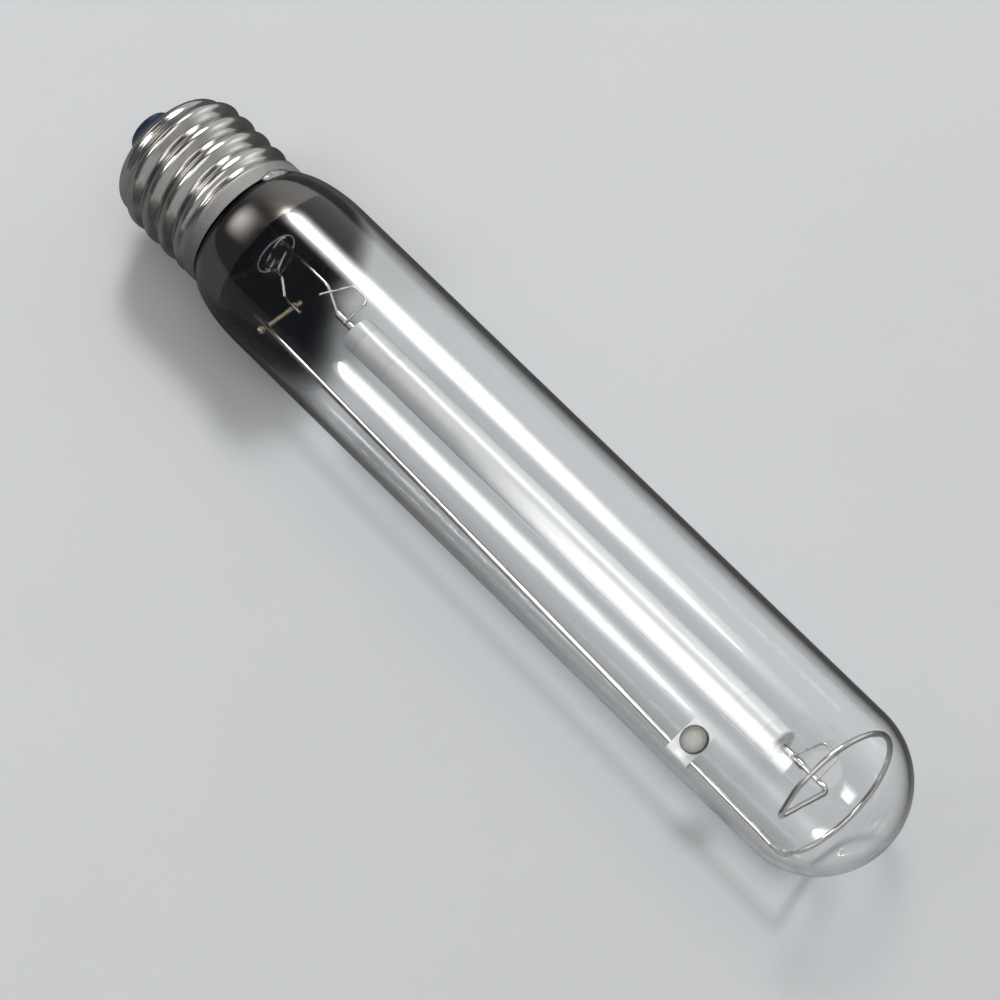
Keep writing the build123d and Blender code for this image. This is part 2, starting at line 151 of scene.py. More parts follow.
class LampSizes(bpy.types.PropertyGroup):
    """Sizes of the lamp's modelled pieces, in the frame of its solids."""

    axis_height: length("Axis height", "Height of the lamp's axis", (shell_low.z + shell_high.z) / 2)
    lamp_roll: angle("Lamp roll", "Turn of the lamp about its axis", 113.4)
    round_steps: count("Round steps", "Steps of a full turn on the large round pieces", 160)

    tube_radius: length("Tube radius", "Outer radius of the glass tube", min(bulb_high.y, -bulb_low.y))
    glass_wall: length("Glass wall", "Thickness of the bulb's glass", 1.3 * MM)
    dome_tip: length("Dome tip", "Station of the dome's tip", bulb_high.x)
    neck_end: length("Neck end", "Station of the end of the glass neck", bulb_low.x)
    neck_radius: length("Neck radius", "Outer radius of the glass neck", 16.3 * MM)
    rim_gap: length("Rim gap", "Straight neck that shows past the shell's rim", 0.5 * MM)
    shoulder_length: length("Shoulder length", "Length of the shoulder from the rim to the tube", 19.0 * MM)
    shoulder_depth: length("Shoulder depth", "Half axis of the shoulder's round along the lamp", 20.8 * MM)
    shoulder_sweep: angle("Shoulder sweep", "Sweep of the shoulder's outer round", 60.0)

    film_gap: length("Film gap", "Distance of the mirror film from the glass", 0.08 * MM)
    film_thickness: length("Film thickness", "Thickness that the mirror film is drawn with", 0.03 * MM)
    film_end: length("Film end", "Station past which there is no film", -60.0 * MM)
    film_front: length("Film front", "Station of the film's sharp edge on the upper side", -85.8 * MM)
    film_back: length("Film back", "Station where the film starts to fade on the under side", -87.0 * MM)
    film_reach: length("Film reach", "How much further the film goes beside the frame wire", 9.0 * MM)
    film_fade: length("Film fade", "Length over which the film fades on the under side", 13.0 * MM)
    film_border: length("Film border", "Length over which the film's sharp edge fades", 0.6 * MM)
    film_waves: length("Film waves", "How far the film's edge wanders", 0.4 * MM)

    shell_end: length("Shell end", "Station of the shell's rounded end", shell_low.x)
    rim: length("Rim", "Station of the shell's rim", shell_high.x)
    crest_radius: length("Crest radius", "Radius of the thread's crests", (shell_high.y - shell_low.y) / 2)
    thread_depth: length("Thread depth", "Depth of the rolled thread", 1.95 * MM)
    thread_pitch: length("Thread pitch", "Distance between the thread's crests", 6.35 * MM)
    thread_phase: angle("Thread phase", "Angle of the crest at the thread's start", 333.0)
    thread_fade: length("Thread fade", "Length over which the thread runs out", 2.6 * MM)
    thread_start: length("Thread start", "Length over which the thread rises from the end", 7.0 * MM)
    valley_sharpness: share("Valley sharpness", "How much tighter the valleys are than the crests", 1.4)
    end_draw: length("End draw", "How far the shell's end is drawn in", 1.1 * MM)
    shell_sheet: length("Shell sheet", "Thickness of the shell's sheet", 0.4 * MM)
    shell_corner: length("Shell corner", "Radius of the shell's rounded end", 2.4 * MM)
    end_lip: length("End lip", "Width of the flat lip round the insulator", 2.5 * MM)
    skirt_length: length("Skirt length", "Length of the plain skirt", 4.8 * MM)
    skirt_step: length("Skirt step", "How far the skirt lies under the crests", 0.25 * MM)

    insulator_end_radius: length("Insulator end", "Radius of the insulator's flat end", 6.4 * MM)
    insulator_seat_radius: length("Insulator seat", "Radius of the insulator in the opening", 13.8 * MM)
    insulator_edge: length("Insulator edge", "Rounding of the insulator's end", 1.0 * MM)
    contact_radius: length("Contact radius", "Radius of the centre contact", 4.3 * MM)
    passage_radius: length("Passage radius", "Radius of the passage for the contact's lead", 1.0 * MM)
    tip_lumps: length("Tip lumps", "Unevenness of the solder on the contact", 0.16 * MM)
    bead_angle: angle("Bead angle", "Place of the solder bead round the rim", 136.5)
    bead_long: length("Bead length", "Half length of the solder bead round the rim", 4.2 * MM)
    bead_wide: length("Bead width", "Half width of the solder bead along the lamp", 1.7 * MM)
    bead_high: length("Bead height", "Half height of the solder bead", 1.25 * MM)
    bead_lumps: length("Bead lumps", "Unevenness of the solder bead", 0.6 * MM)

    stem_radius: length("Stem radius", "Radius of the glass stem tube", 6.0 * MM)
    stem_wall: length("Stem wall", "Wall of the glass stem tube", 1.0 * MM)
    stem_gap: length("Stem gap", "Gap between the stem's flare and the neck", 0.02 * MM)
    # The bright edges are pale glass with painted glints.
    fused_edge: length("Fused edge", "Half the width of the bright edges of fused glass", 0.25 * MM)
    stem_lip: length("Stem lip", "Station of the stem tube's rounded lip", -90.6 * MM)
    press_turn: angle("Press turn", "Turn of the press about the axis", 37.0)
    press_top: length("Press top", "Station of the press's top", -85.6 * MM)

    getter_station: length("Getter station", "Station of the getter on the frame wire", 88.2 * MM)
    getter_offset: length("Getter offset", "Distance of the wire from the axis at the getter", 18.53 * MM)
    wire_slope: share("Wire slope", "Rise of the frame wire from the axis along the lamp", 0.0207)
    getter_length: length("Getter length", "Length of the getter plate along the wire", 7.7 * MM)
    getter_width: length("Getter width", "Width of the getter plate across the wire", 10.0 * MM)
    getter_fold: length("Getter fold", "Distance of the fold past the wire", 1.2 * MM)
    getter_lift: length("Getter lift", "Distance of the plate's middle from the wire's centre", 0.895 * MM)
    getter_sheet: length("Getter sheet", "Thickness of the getter plate", 0.25 * MM)
    getter_corner: length("Getter corner", "Rounding of the plate's free corners", 1.3 * MM)
    getter_edge: length("Getter edge", "Rounding of the plate's edges", 0.06 * MM)
    getter_tail: length("Getter tail", "Length of the plate folded under the wire", 2.4 * MM)
    pill_radius: length("Pill radius", "Radius of the getter pill", 3.7 * MM)
    pill_height: length("Pill height", "Height of the getter pill", 1.2 * MM)
    pill_offset: length("Pill offset", "Distance of the pill's centre from the wire", 4.5 * MM)
    pill_shift: length("Pill shift", "Distance of the pill's centre from the plate's middle", 0.55 * MM)
    pill_rim: length("Pill rim", "Width of the pill's raised rim", 0.3 * MM)
    pill_groove: length("Pill groove", "Width of the slope inside the pill's rim", 0.25 * MM)
    pill_dish: length("Pill dish", "Depth of the pill's face under its rim", 0.1 * MM)
    pill_crown: length("Pill crown", "Rise of the pill's middle", 0.06 * MM)
    pill_crown_width: length("Pill crown width", "Width over which the pill's middle rises", 1.2 * MM)
    pill_edge: length("Pill edge", "Rounding of the pill's edges", 0.22 * MM)
    # Painted shade: the width of the dark band round the pill's edge.
    pill_shade_edge: length("Pill dark edge", "Width of the pill's dark edge", 0.28 * MM)


class LampFinishes(bpy.types.PropertyGroup):
    """Colours of the lamp's finishes."""

    glass: colour("Glass", "Tint of the bulb's glass", (0.985, 0.99, 0.99))
    bulb_shade: colour("Bulb shade", "Light that passes the bulb's glass", (0.965, 0.97, 0.97))
    stem_shade: colour("Stem shade", "Light that passes the stem's glass", (0.95, 0.96, 0.96))
    # Painted highlights: the pale colours of the stem's rim and of the press's edges.
    rim: colour("Rim", "Fire polished edge of the stem", (0.62, 0.65, 0.70))
    painted_glint: colour("Glint", "Bright edges of the pressed glass", (0.95, 0.96, 0.98))
    nickel: colour("Nickel", "Plating of the shell", (0.80, 0.78, 0.745))
    # Colour of the painted shade in the thread's valleys.
    valley_painted_shade: colour("Valley", "Dull plating in the thread's valleys", (0.48, 0.465, 0.44))
    skirt: colour("Skirt", "Satin plating of the skirt", (0.38, 0.375, 0.36))
    nickel_shade: colour("Nickel shade", "Dull patches of the plating", (0.44, 0.41, 0.37))
    mirror: colour("Mirror", "Outer side of the mirror film", (0.25, 0.222, 0.195))
    mirror_gloss: colour("Mirror gloss", "Tint of the mirror film's gloss", (0.35, 0.32, 0.30))
    soot: colour("Soot", "Inner side of the mirror film", (0.010, 0.012, 0.018))
    insulator: colour("Insulator", "Dark glass of the insulator", (0.006, 0.014, 0.034))
    brass: colour("Brass", "Plated brass of the centre contact", (0.60, 0.50, 0.33))
    solder: colour("Solder", "Soft solder", (0.62, 0.62, 0.63))
    cement: colour("Cement", "Baked cement", (0.36, 0.29, 0.21))
    wire: colour("Wire", "Bright drawn wire", (0.76, 0.74, 0.71))
    bar: colour("Bar", "Warm drawn wire of the cross bar", (0.76, 0.62, 0.41))
    niobium: colour("Niobium", "Drawn niobium", (0.52, 0.51, 0.50))
    alumina: colour("Alumina", "Translucent ceramic of the arc tube", (0.92, 0.925, 0.935))
    plug: colour("Plug", "Ceramic of the end plugs", (0.78, 0.78, 0.78))
    frit: colour("Frit", "Sealing frit", (0.70, 0.68, 0.62))
    tungsten: colour("Tungsten", "Electrodes", (0.28, 0.28, 0.29))
    getter_sheet: colour("Getter sheet", "Bright sheet of the getter plate", (0.95, 0.95, 0.94))
    powder: colour("Powder", "Pressed powder of the getter pill", (0.60, 0.58, 0.54))
    # Painted shade round the pill's edge.
    pill_edge: colour("Pill edge", "Dark edge of the getter pill", (0.06, 0.058, 0.055))


class StageSettings(bpy.types.PropertyGroup):
    """Floor, lights and camera."""

    floor: colour("Floor", "Plain pale floor", (0.56, 0.57, 0.58))
    floor_size: length("Floor size", "Side of the floor", 14.0)
    ambient: colour("Ambient", "Even light from all round", (0.07, 0.072, 0.075))
    pale_side: colour("Pale side", "Even light from behind the lamp", (0.56, 0.57, 0.58))
    backdrop: colour("Backdrop", "What the camera sees past the floor", (0.27, 0.275, 0.28))
    # Painted shade on the floor that mirrors show: its shares towards the base and by the dome.
    mirrored_shade_near: share("Mirrored near", "Share of the floor that mirrors show towards the base", 0.1)
    mirrored_shade_far: share("Mirrored far", "Share of the floor that mirrors show by the dome", 0.8)
    view_azimuth: angle("View azimuth", "Camera's turn round the lamp", 49.54)
    view_elevation: angle("View elevation", "Camera's height over the horizon", 56.26)
    view_distance: length("View distance", "Camera's distance from the lamp", 2.015)
    lens: share("Lens", "Focal length in millimetres", 288.0)
    aim_x: length("Aim", "Station on the lamp's axis that the camera aims at", 4.2 * MM)
    aim_right: share("Aim right", "Pixels from the picture's centre to the aim, to the right", 14.0)
    aim_up: share("Aim up", "Pixels from the picture's centre to the aim, upwards", 15.0)
    picture_width: share("Picture width", "Pixels across the picture", 1000.0)
    rear_level: share("Rear level", "Brightness of the strip light behind the lamp", 16.0)
    key_place: position("Key place", "Middle of the strip light behind the lamp", (-0.66, 0.556, 1.087))
    key_level: share("Key level", "Strength of the key light that shines with the strip light", 0.85)
    key_spread: angle("Key spread", "Width of the key light", 12.0)
    front_level: share("Front level", "Brightness of the soft box before the lamp", 8.5)
    front_place: position("Front place", "Middle of the soft box before the lamp", (-0.46, -0.82, 1.17))
    base_level: share("Base level", "Brightness of the soft light beyond the base", 1.4)
    base_place: position("Base place", "Middle of the soft light beyond the base", (-1.8, -0.50, 1.18))
    side_level: share("Side level", "Brightness of the soft light beyond the lamp", 0.5)
    side_place: position("Side place", "Middle of the soft light beyond the lamp", (0.9, 2.2, 1.1))
    top_level: share("Top level", "Strength of the wide light overhead", 0.58)
    top_spread: angle("Top spread", "Width of the wide light overhead", 48.0)
    top_side: position("Top side", "Direction that the wide light comes from", (0.26, -0.16, 0.95))


def sizes():
    return bpy.context.scene.lamp_sizes


def finishes():
    return bpy.context.scene.lamp_finishes


def settings():
    return bpy.context.scene.lamp_stage


# Modelling helpers
def begin():
    """Leaves edit mode and selects nothing."""
    if bpy.context.object and bpy.context.object.mode != "OBJECT":
        bpy.ops.object.mode_set(mode="OBJECT")
    bpy.ops.object.select_all(action="DESELECT")


def select_only(piece):
    """Makes a piece the one that operators act on."""
    begin()
    piece.select_set(True)
    bpy.context.view_layer.objects.active = piece


def just_added(name):
    """Names the object that an operator has just added, and its data."""
    piece = bpy.context.object
    piece.name = name
    piece.data.name = name
    return piece


def edit_all():
    """Goes into edit mode with the whole mesh selected."""
    bpy.ops.object.mode_set(mode="EDIT")
    bpy.ops.mesh.select_all(action="SELECT")


def apply_modifier(piece, kind, **values):
    """Adds a modifier to the active piece and applies it."""
    change = piece.modifiers.new(kind.lower(), kind)
    for name, value in values.items():
        setattr(change, name, value)
    bpy.ops.object.modifier_apply(modifier=change.name)


def draw_line(name, points):
    """Extrudes one vertex from point to point, and leaves the line selected in edit mode."""
    begin()
    bpy.ops.mesh.primitive_plane_add(size=MM)
    piece = just_added(name)
    edit_all()
    bpy.ops.mesh.merge(type="CENTER")
    bpy.ops.transform.translate(value=points[0])
    for start, end in zip(points, points[1:]):
        step = [there - here for here, there in zip(start, end)]
        bpy.ops.mesh.extrude_vertices_move(TRANSFORM_OT_translate={"value": step})
    bpy.ops.mesh.select_all(action="SELECT")
    return piece


def lathe(name, outline, steps, closed=True):
    """Draws a line through (station, radius) points, then spins it about the lamp's axis."""
    height = sizes().axis_height
    points = outline + outline[:1] if closed else outline
    piece = draw_line(name, [(station, 0.0, height + radius) for station, radius in points])
    bpy.ops.mesh.spin(steps=steps, angle=FULL_TURN, center=(0.0, 0.0, height), axis=ALONG_LAMP)
    bpy.ops.mesh.select_all(action="SELECT")
    bpy.ops.mesh.remove_doubles(threshold=0.001 * MM)
    bpy.ops.mesh.normals_make_consistent(inside=False)
    bpy.ops.object.mode_set(mode="OBJECT")
    return piece


def select_end(piece, axis):
    """Selects the face that lies furthest along an axis, in edit mode."""
    mesh = bmesh.from_edit_mesh(piece.data)
    for face in mesh.faces:
        face.select_set(False)
    last = max(mesh.faces, key=lambda face: face.calc_center_median()[axis])
    last.select_set(True)
    mesh.select_flush(True)
    bmesh.update_edit_mesh(piece.data)


def smooth(piece, degrees=35.0):
    """Smooth shading, with edges kept where faces meet at more than an angle."""
    select_only(piece)
    bpy.ops.object.shade_smooth_by_angle(angle=math.radians(degrees))


def settle(piece, place):
    """Moves a piece that was shaped at the origin to its place, and leaves its object at the origin."""
    select_only(piece)
    piece.matrix_world = place
    bpy.ops.object.transform_apply(location=True, rotation=True, scale=True)


def lumps(piece, grain, height, detail):
    """Makes a surface a little lumpy, and smooth shaded."""
    texture = bpy.data.textures.new(piece.name, "CLOUDS")
    texture.noise_scale = grain
    texture.noise_depth = detail
    select_only(piece)
    apply_modifier(piece, "DISPLACE", texture=texture, texture_coords="LOCAL", strength=height)
    bpy.ops.object.shade_smooth()


def blob(name, place, half_sizes, grain, height, detail):
    """Lumpy drop with three half sizes, at a place with its own axes."""
    begin()
    bpy.ops.mesh.primitive_ico_sphere_add(subdivisions=5, radius=1.0)
    piece = just_added(name)
    edit_all()
    bpy.ops.transform.resize(value=half_sizes)
    bpy.ops.object.mode_set(mode="OBJECT")
    settle(piece, place)
    lumps(piece, grain, height, detail)
    return piece


def arc(centre, across, up, start, end, steps):
    """Points of an elliptical arc from one angle to another, both in degrees, ends included."""
    points = []
    for index in range(steps + 1):
        turn = math.radians(start + (end - start) * index / steps)
        points.append((centre[0] + across * math.cos(turn), centre[1] + up * math.sin(turn)))
    return points


def run(start, end, steps):
    """Points of a straight run, ends included."""
    return [
        (start[0] + (end[0] - start[0]) * index / steps, start[1] + (end[1] - start[1]) * index / steps)
        for index in range(steps + 1)
    ]


def soft_corner(start, corner, end, steps):
    """Points of a curve that leaves start and reaches end along the lines to a corner."""
    points = []
    for index in range(steps + 1):
        part = index / steps
        weights = (1 - part) ** 2, 2 * part * (1 - part), part * part
        ends = zip(start, corner, end)
        points.append(tuple(sum(weight * value for weight, value in zip(weights, three)) for three in ends))
    return points


def eased(part):
    """Goes from 0 to 1 with soft ends."""
    part = min(1.0, max(0.0, part))
    return part * part * (3.0 - 2.0 * part)


def lamp_sides():
    """Unit vectors across the axis: towards the front of the getter, and towards the frame wire."""
    roll = sizes().lamp_roll
    front = Vector((0.0, math.cos(roll), math.sin(roll)))
    wire_side = Vector((0.0, -math.sin(roll), math.cos(roll)))
    return front, wire_side


def lamp_point(station, to_front=0.0, to_wire=0.0):
    """Point at a station, by its distances from the axis to the front and to the frame wire's side."""
    front, wire_side = lamp_sides()
    return Vector((station, 0.0, sizes().axis_height)) + front * to_front + wire_side * to_wire


def axes_at(origin, along, across, away):
    """Matrix of a place with three axes."""
    turn = Matrix((along, across, away)).transposed().to_4x4()
    return Matrix.Translation(origin) @ turn


def keep(piece, slot, *nodes):
    """The piece rides on the lamp and stands for its solids. The slot is not used."""
    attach(piece, "root")
    if nodes:
        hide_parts(*nodes)


# Shader helpers
def new_material(name):
    """A material with a Principled shader, as (material, nodes, links, shader)."""
    material = bpy.data.materials.new(name)
    material.use_nodes = True
    nodes = material.node_tree.nodes
    return material, nodes, material.node_tree.links, nodes["Principled BSDF"]


def set_input(links, socket, value):
    """Links an output to an input, or sets the input to a number, vector or colour."""
    if isinstance(value, bpy.types.NodeSocket):
        links.new(value, socket)
    else:
        socket.default_value = (*value, 1.0) if socket.type == "RGBA" else value


def set_sockets(links, node, **values):
    """Sets or links a node's inputs, named with underscores for spaces."""
    for name, value in values.items():
        set_input(links, node.inputs[name.replace("_", " ")], value)


def object_place(nodes):
    """Object coordinates."""
    return nodes.new("ShaderNodeTexCoord").outputs["Object"]


def split(nodes, links, vector):
    """The X, Y and Z outputs of a vector."""
    node = nodes.new("ShaderNodeSeparateXYZ")
    links.new(vector, node.inputs["Vector"])
    return node.outputs


def vector_math(nodes, links, operation, *values):
    """Outputs of a sum on vectors."""
    node = nodes.new("ShaderNodeVectorMath")
    node.operation = operation
    for socket, value in zip(node.inputs, values):
        set_input(links, socket, value)
    return node.outputs


def join(nodes, links, operation, first, second):
    """Joins two values, each a number or an output."""
    node = nodes.new("ShaderNodeMath")
    node.operation = operation
    set_input(links, node.inputs[0], first)
    set_input(links, node.inputs[1], second)
    return node.outputs[0]


def spread_between(nodes, links, value, start, end, low=0.0, high=1.0):
    """Maps a value softly from one range to another."""
    node = nodes.new("ShaderNodeMapRange")
    node.interpolation_type = "SMOOTHSTEP"
    set_sockets(links, node, Value=value, From_Min=start, From_Max=end, To_Min=low, To_Max=high)
    return node.outputs["Result"]


def blend(nodes, links, mask, first, second, kind="RGBA"):
    """Goes from one colour to another with a mask, or with kind FLOAT from one value to another."""
    mix = nodes.new("ShaderNodeMix")
    mix.data_type = kind
    set_sockets(links, mix, Factor=mask, A=first, B=second)
    return mix.outputs["Result"]


def mottle_group():
    """Noise on object coordinates, stretched by a vector and mapped between two values."""
    found = bpy.data.node_groups.get("mottle")
    if found:
        return found
    group = bpy.data.node_groups.new("mottle", "ShaderNodeTree")
    face = group.interface
    face.new_socket("Stretch", in_out="INPUT", socket_type="NodeSocketVector").default_value = EVEN
    for name, default in (("Scale", 400.0), ("Detail", 4.0), ("Low", 0.0), ("High", 1.0)):
        face.new_socket(name, in_out="INPUT", socket_type="NodeSocketFloat").default_value = default
    face.new_socket("Value", in_out="OUTPUT", socket_type="NodeSocketFloat")
    nodes, links = group.nodes, group.links
    given = nodes.new("NodeGroupInput").outputs
    cloud = nodes.new("ShaderNodeTexNoise")
    stretched = vector_math(nodes, links, "MULTIPLY", object_place(nodes), given["Stretch"])["Vector"]
    set_sockets(links, cloud, Vector=stretched, Scale=given["Scale"], Detail=given["Detail"])
    spread = nodes.new("ShaderNodeMapRange")
    set_sockets(links, spread, Value=cloud.outputs["Fac"], From_Min=0.3, From_Max=0.7)
    set_sockets(links, spread, To_Min=given["Low"], To_Max=given["High"])
    links.new(spread.outputs["Result"], nodes.new("NodeGroupOutput").inputs["Value"])
    return group


def mottle(nodes, scale, low=0.0, high=1.0, stretch=EVEN, detail=4.0):
    """Places the mottle group in a material and returns its output."""
    node = nodes.new("ShaderNodeGroup")
    node.node_tree = mottle_group()
    values = {"Stretch": stretch, "Scale": scale, "Detail": detail, "Low": low, "High": high}
    for name, value in values.items():
        node.inputs[name].default_value = value
    return node.outputs["Value"]


def bump(nodes, links, height, shader, distance):
    """Raises the surface by a height value, to a distance in metres."""
    node = nodes.new("ShaderNodeBump")
    set_sockets(links, node, Strength=1.0, Distance=distance, Height=height)
    links.new(node.outputs["Normal"], shader.inputs["Normal"])


def shaded(tone, factor):
    """A colour made darker or lighter."""
    return tuple(min(1.0, part * factor) for part in tone)


def mottled(nodes, links, tone, factor, scale, **noise):
    """A colour with patches that are darker or lighter by a factor."""
    return blend(nodes, links, mottle(nodes, scale, **noise), tone, shaded(tone, factor))


# Finishes that several pieces share
def metal(name, tone, roughness, grain, stretch=EVEN, dullness=0.78, depth=0.004):
    """Metal with streaks, dull patches and a fine grain."""
    material, nodes, links, shader = new_material(name)
    patches, relief = 0.12 * grain, 1.6 * grain
    set_sockets(
        links, shader, Metallic=1.0,
        Base_Color=mottled(nodes, links, tone, dullness, patches),
        Roughness=mottle(nodes, grain, 0.7 * roughness, 1.4 * roughness, stretch),
    )
    bump(nodes, links, mottle(nodes, relief, stretch=stretch), shader, depth * MM)
    return material


def ceramic(name, tone, roughness, grain, shade=0.9):
    """Matte sintered body with a fine grain."""
    material, nodes, links, shader = new_material(name)
    patches, relief = 0.6 * grain, 1.5 * grain
    set_sockets(
        links, shader,
        Base_Color=mottled(nodes, links, tone, shade, grain),
        Roughness=mottle(nodes, patches, 0.85 * roughness, 1.15 * roughness),
    )
    bump(nodes, links, mottle(nodes, relief), shader, 0.02 * MM)
    return material


def see_through(nodes, links, shader, tint):
    """Lets light and scattered rays pass a glass straight on, so that it casts only a faint shade."""
    path = nodes.new("ShaderNodeLightPath").outputs
    clear = nodes.new("ShaderNodeBsdfTransparent")
    set_sockets(links, clear, Color=tint)
    mix = nodes.new("ShaderNodeMixShader")
    straight_on = join(nodes, links, "MAXIMUM", path["Is Shadow Ray"], path["Is Diffuse Ray"])
    for socket, value in zip(mix.inputs, (straight_on, shader.outputs[0], clear.outputs[0])):
        links.new(value, socket)
    links.new(mix.outputs[0], nodes["Material Output"].inputs["Surface"])


def clear_glass(name, tint, shade):
    """Polished glass with painted shade where it is seen edge on, and less of it on the dome."""
    lamp = sizes()
    edge_start, edge_painted_shade, dome_share = 0.44, 0.27, 0.5
    material, nodes, links, shader = new_material(name)
    # Painted shade along the glass's edges, grown from how flat the surface is seen.
    seen_flat = nodes.new("ShaderNodeLayerWeight").outputs["Facing"]
    edge = spread_between(nodes, links, seen_flat, edge_start, 1.0)
    station = split(nodes, links, object_place(nodes))["X"]
    dome_start = lamp.dome_tip - lamp.tube_radius
    off_dome = spread_between(nodes, links, station, dome_start, lamp.dome_tip, 1.0, dome_share)
    edge = join(nodes, links, "MULTIPLY", edge, off_dome)
    set_sockets(
        links, shader, Transmission_Weight=1.0, IOR=1.47,
        Base_Color=blend(nodes, links, edge, tint, shaded(tint, edge_painted_shade)),
        Roughness=mottle(nodes, 90.0, 0.0, 0.015, BLOWN, detail=1.0),
    )
    see_through(nodes, links, shader, shade)
    return material


def glass_with_painted_glints(name, tone, low, high):
    """Fire polished edge of glass, drawn pale in patches: painted glints against the dark."""
    material, nodes, links, shader = new_material(name)
    set_sockets(
        links, shader,
        Base_Color=mottled(nodes, links, tone, 0.5, 300.0),
        Roughness=mottle(nodes, 500.0, 0.10, 0.25),
        Alpha=mottle(nodes, 160.0, low, high, detail=1.0),
    )
    return material


def solder_metal():
    """Soft solder, bright on its swellings and dull between."""
    found = bpy.data.materials.get("soft solder")
    return found or metal("soft solder", finishes().solder, 0.3, 420.0, dullness=0.6, depth=0.03)


# Outer bulb
def bulb_outline(radius, shoulder_depth, neck):
    """One glass surface from the dome's tip to the end of the neck."""
    lamp = sizes()
    dome_centre = lamp.dome_tip - lamp.tube_radius
    shoulder_end = lamp.rim + lamp.shoulder_length
    rise = radius - lamp.neck_radius
    sweep = math.degrees(lamp.shoulder_sweep)
    dome = arc((dome_centre, 0.0), radius, radius, 0.0, 90.0, CURVE_STEPS)
    tube = run((dome_centre, radius), (shoulder_end, radius), CURVE_STEPS)
    shoulder = arc((shoulder_end, lamp.neck_radius), shoulder_depth, rise, 90.0, 90.0 + sweep, CURVE_STEPS)
    neck_start = (lamp.rim + lamp.rim_gap + lamp.neck_radius - neck, neck)
    turn_in = soft_corner(shoulder[-1], neck_start, (lamp.rim, neck), CURVE_STEPS // 2)
    return dome + tube[1:] + shoulder[1:] + turn_in[1:] + [(lamp.neck_end, neck)]


class LAMP_OT_outer_bulb(bpy.types.Operator):
    """Spin the glass wall of the tubular bulb"""

    bl_idname = "lamp.outer_bulb"
    bl_label = "Outer Bulb"

    def execute(self, context):
        lamp = sizes()
        wall = lamp.glass_wall
        outside = bulb_outline(lamp.tube_radius, lamp.shoulder_depth, lamp.neck_radius)
        inside = bulb_outline(lamp.tube_radius - wall, lamp.shoulder_depth - wall, lamp.neck_radius - wall)
        bulb = lathe("bulb_glass", outside + inside[::-1], lamp.round_steps, closed=False)
        smooth(bulb)
        bulb.data.materials.append(clear_glass("bulb glass", finishes().glass, finishes().bulb_shade))
        keep(bulb, "bulb_glass", "outer_bulb")
        return {"FINISHED"}


# Mirror film
def film_mask(nodes, links):
    """Cover of the film: whole near the base, with an edge that is sharp in front and fades behind."""
    lamp = sizes()
    front, wire_side = lamp_sides()
    axis = (0.0, 0.0, lamp.axis_height)
    from_axis = vector_math(nodes, links, "SUBTRACT", object_place(nodes), axis)["Vector"]
    station = split(nodes, links, from_axis)["X"]

    def around(direction, start, end, low, high):
        reach = vector_math(nodes, links, "DOT_PRODUCT", from_axis, direction)["Value"]
        radius = lamp.tube_radius
        return spread_between(nodes, links, reach, start * radius, end * radius, low, high)

    def further_by_wire(value):
        return around(wire_side, -0.2, 0.9, value, value + lamp.film_reach)

    in_front = around(front, -0.3, 0.4, 0.0, 1.0)
    edge = blend(nodes, links, in_front, further_by_wire(lamp.film_back), lamp.film_front, "FLOAT")
    waves = mottle(nodes, 140.0, -lamp.film_waves, lamp.film_waves, detail=1.0)
    edge = join(nodes, links, "ADD", edge, waves)
    fade = blend(nodes, links, in_front, further_by_wire(lamp.film_fade), lamp.film_border, "FLOAT")
    return spread_between(nodes, links, station, edge, join(nodes, links, "ADD", edge, fade), 1.0, 0.0)


def film_material(name, tone, metallic, roughness):
    """One side of the evaporated film."""
    material, nodes, links, shader = new_material(name)
    set_sockets(
        links, shader, Metallic=metallic, Specular_Tint=finishes().mirror_gloss,
        Base_Color=mottled(nodes, links, tone, 0.7, 60.0, detail=1.0),
        Roughness=mottle(nodes, 180.0, 0.8 * roughness, 1.3 * roughness, detail=1.0),
        Alpha=film_mask(nodes, links),
    )
    return material


class LAMP_OT_mirror_film(bpy.types.Operator):
    """Lay the evaporated mirror film on the inside of the shoulder"""

    bl_idname = "lamp.mirror_film"
    bl_label = "Mirror Film"

    def execute(self, context):
        lamp = sizes()
        inset = lamp.glass_wall + lamp.film_gap
        wall = bulb_outline(lamp.tube_radius - inset, lamp.shoulder_depth - inset, lamp.neck_radius - inset)
        covered = [point for point in wall if point[0] < lamp.film_end]
        wall = [(lamp.film_end, lamp.tube_radius - inset)] + covered
        inner = [(station, radius - lamp.film_thickness) for station, radius in wall]
        film = lathe("mirror_film", wall + inner[::-1], lamp.round_steps)
        smooth(film)
        film.data.materials.append(film_material("mirror film", finishes().mirror, 1.0, 0.10))
        film.data.materials.append(film_material("mirror film inside", finishes().soot, 0.0, 0.25))
        centre = lamp_point(0.0)
        for face in film.data.polygons:
            outward = face.center - centre
            outward.x = 0.0
            face.material_index = 1 if face.normal.dot(outward) < 0.0 else 0
        keep(film, None)
        return {"FINISHED"}


# Screw base
def shell_radii():
    """Radii of the shell: middle of the thread, skirt, and opening in the end."""
    lamp = sizes()
    mean = lamp.crest_radius - lamp.thread_depth / 2
    return mean, lamp.crest_radius - lamp.skirt_step, mean - lamp.shell_corner - lamp.end_lip


def thread_rise(point):
    """How far the rolled thread and the drawn end move a point of the plain shell outwards."""
    lamp = sizes()
    mean, _, opening = shell_radii()
    start = lamp.shell_end + lamp.shell_corner
    end = lamp.rim - lamp.skirt_length
    front, wire_side = lamp_sides()
    across = point - lamp_point(point.x)
    turn = math.atan2(across.dot(front), across.dot(wire_side))
    crest = lamp.thread_phase - FULL_TURN * (point.x - start) / lamp.thread_pitch
    into = eased((point.x - lamp.shell_end) / lamp.thread_start)
    out = min(1.0, max(0.0, (end - point.x) / lamp.thread_fade))
    drawn = lamp.end_draw * (1.0 - into) * eased((across.length - opening) / (mean - opening))
    dip = (1.0 - math.cos(turn - crest)) / 2
    return lamp.thread_depth * into * out * (0.5 - dip ** lamp.valley_sharpness) - drawn


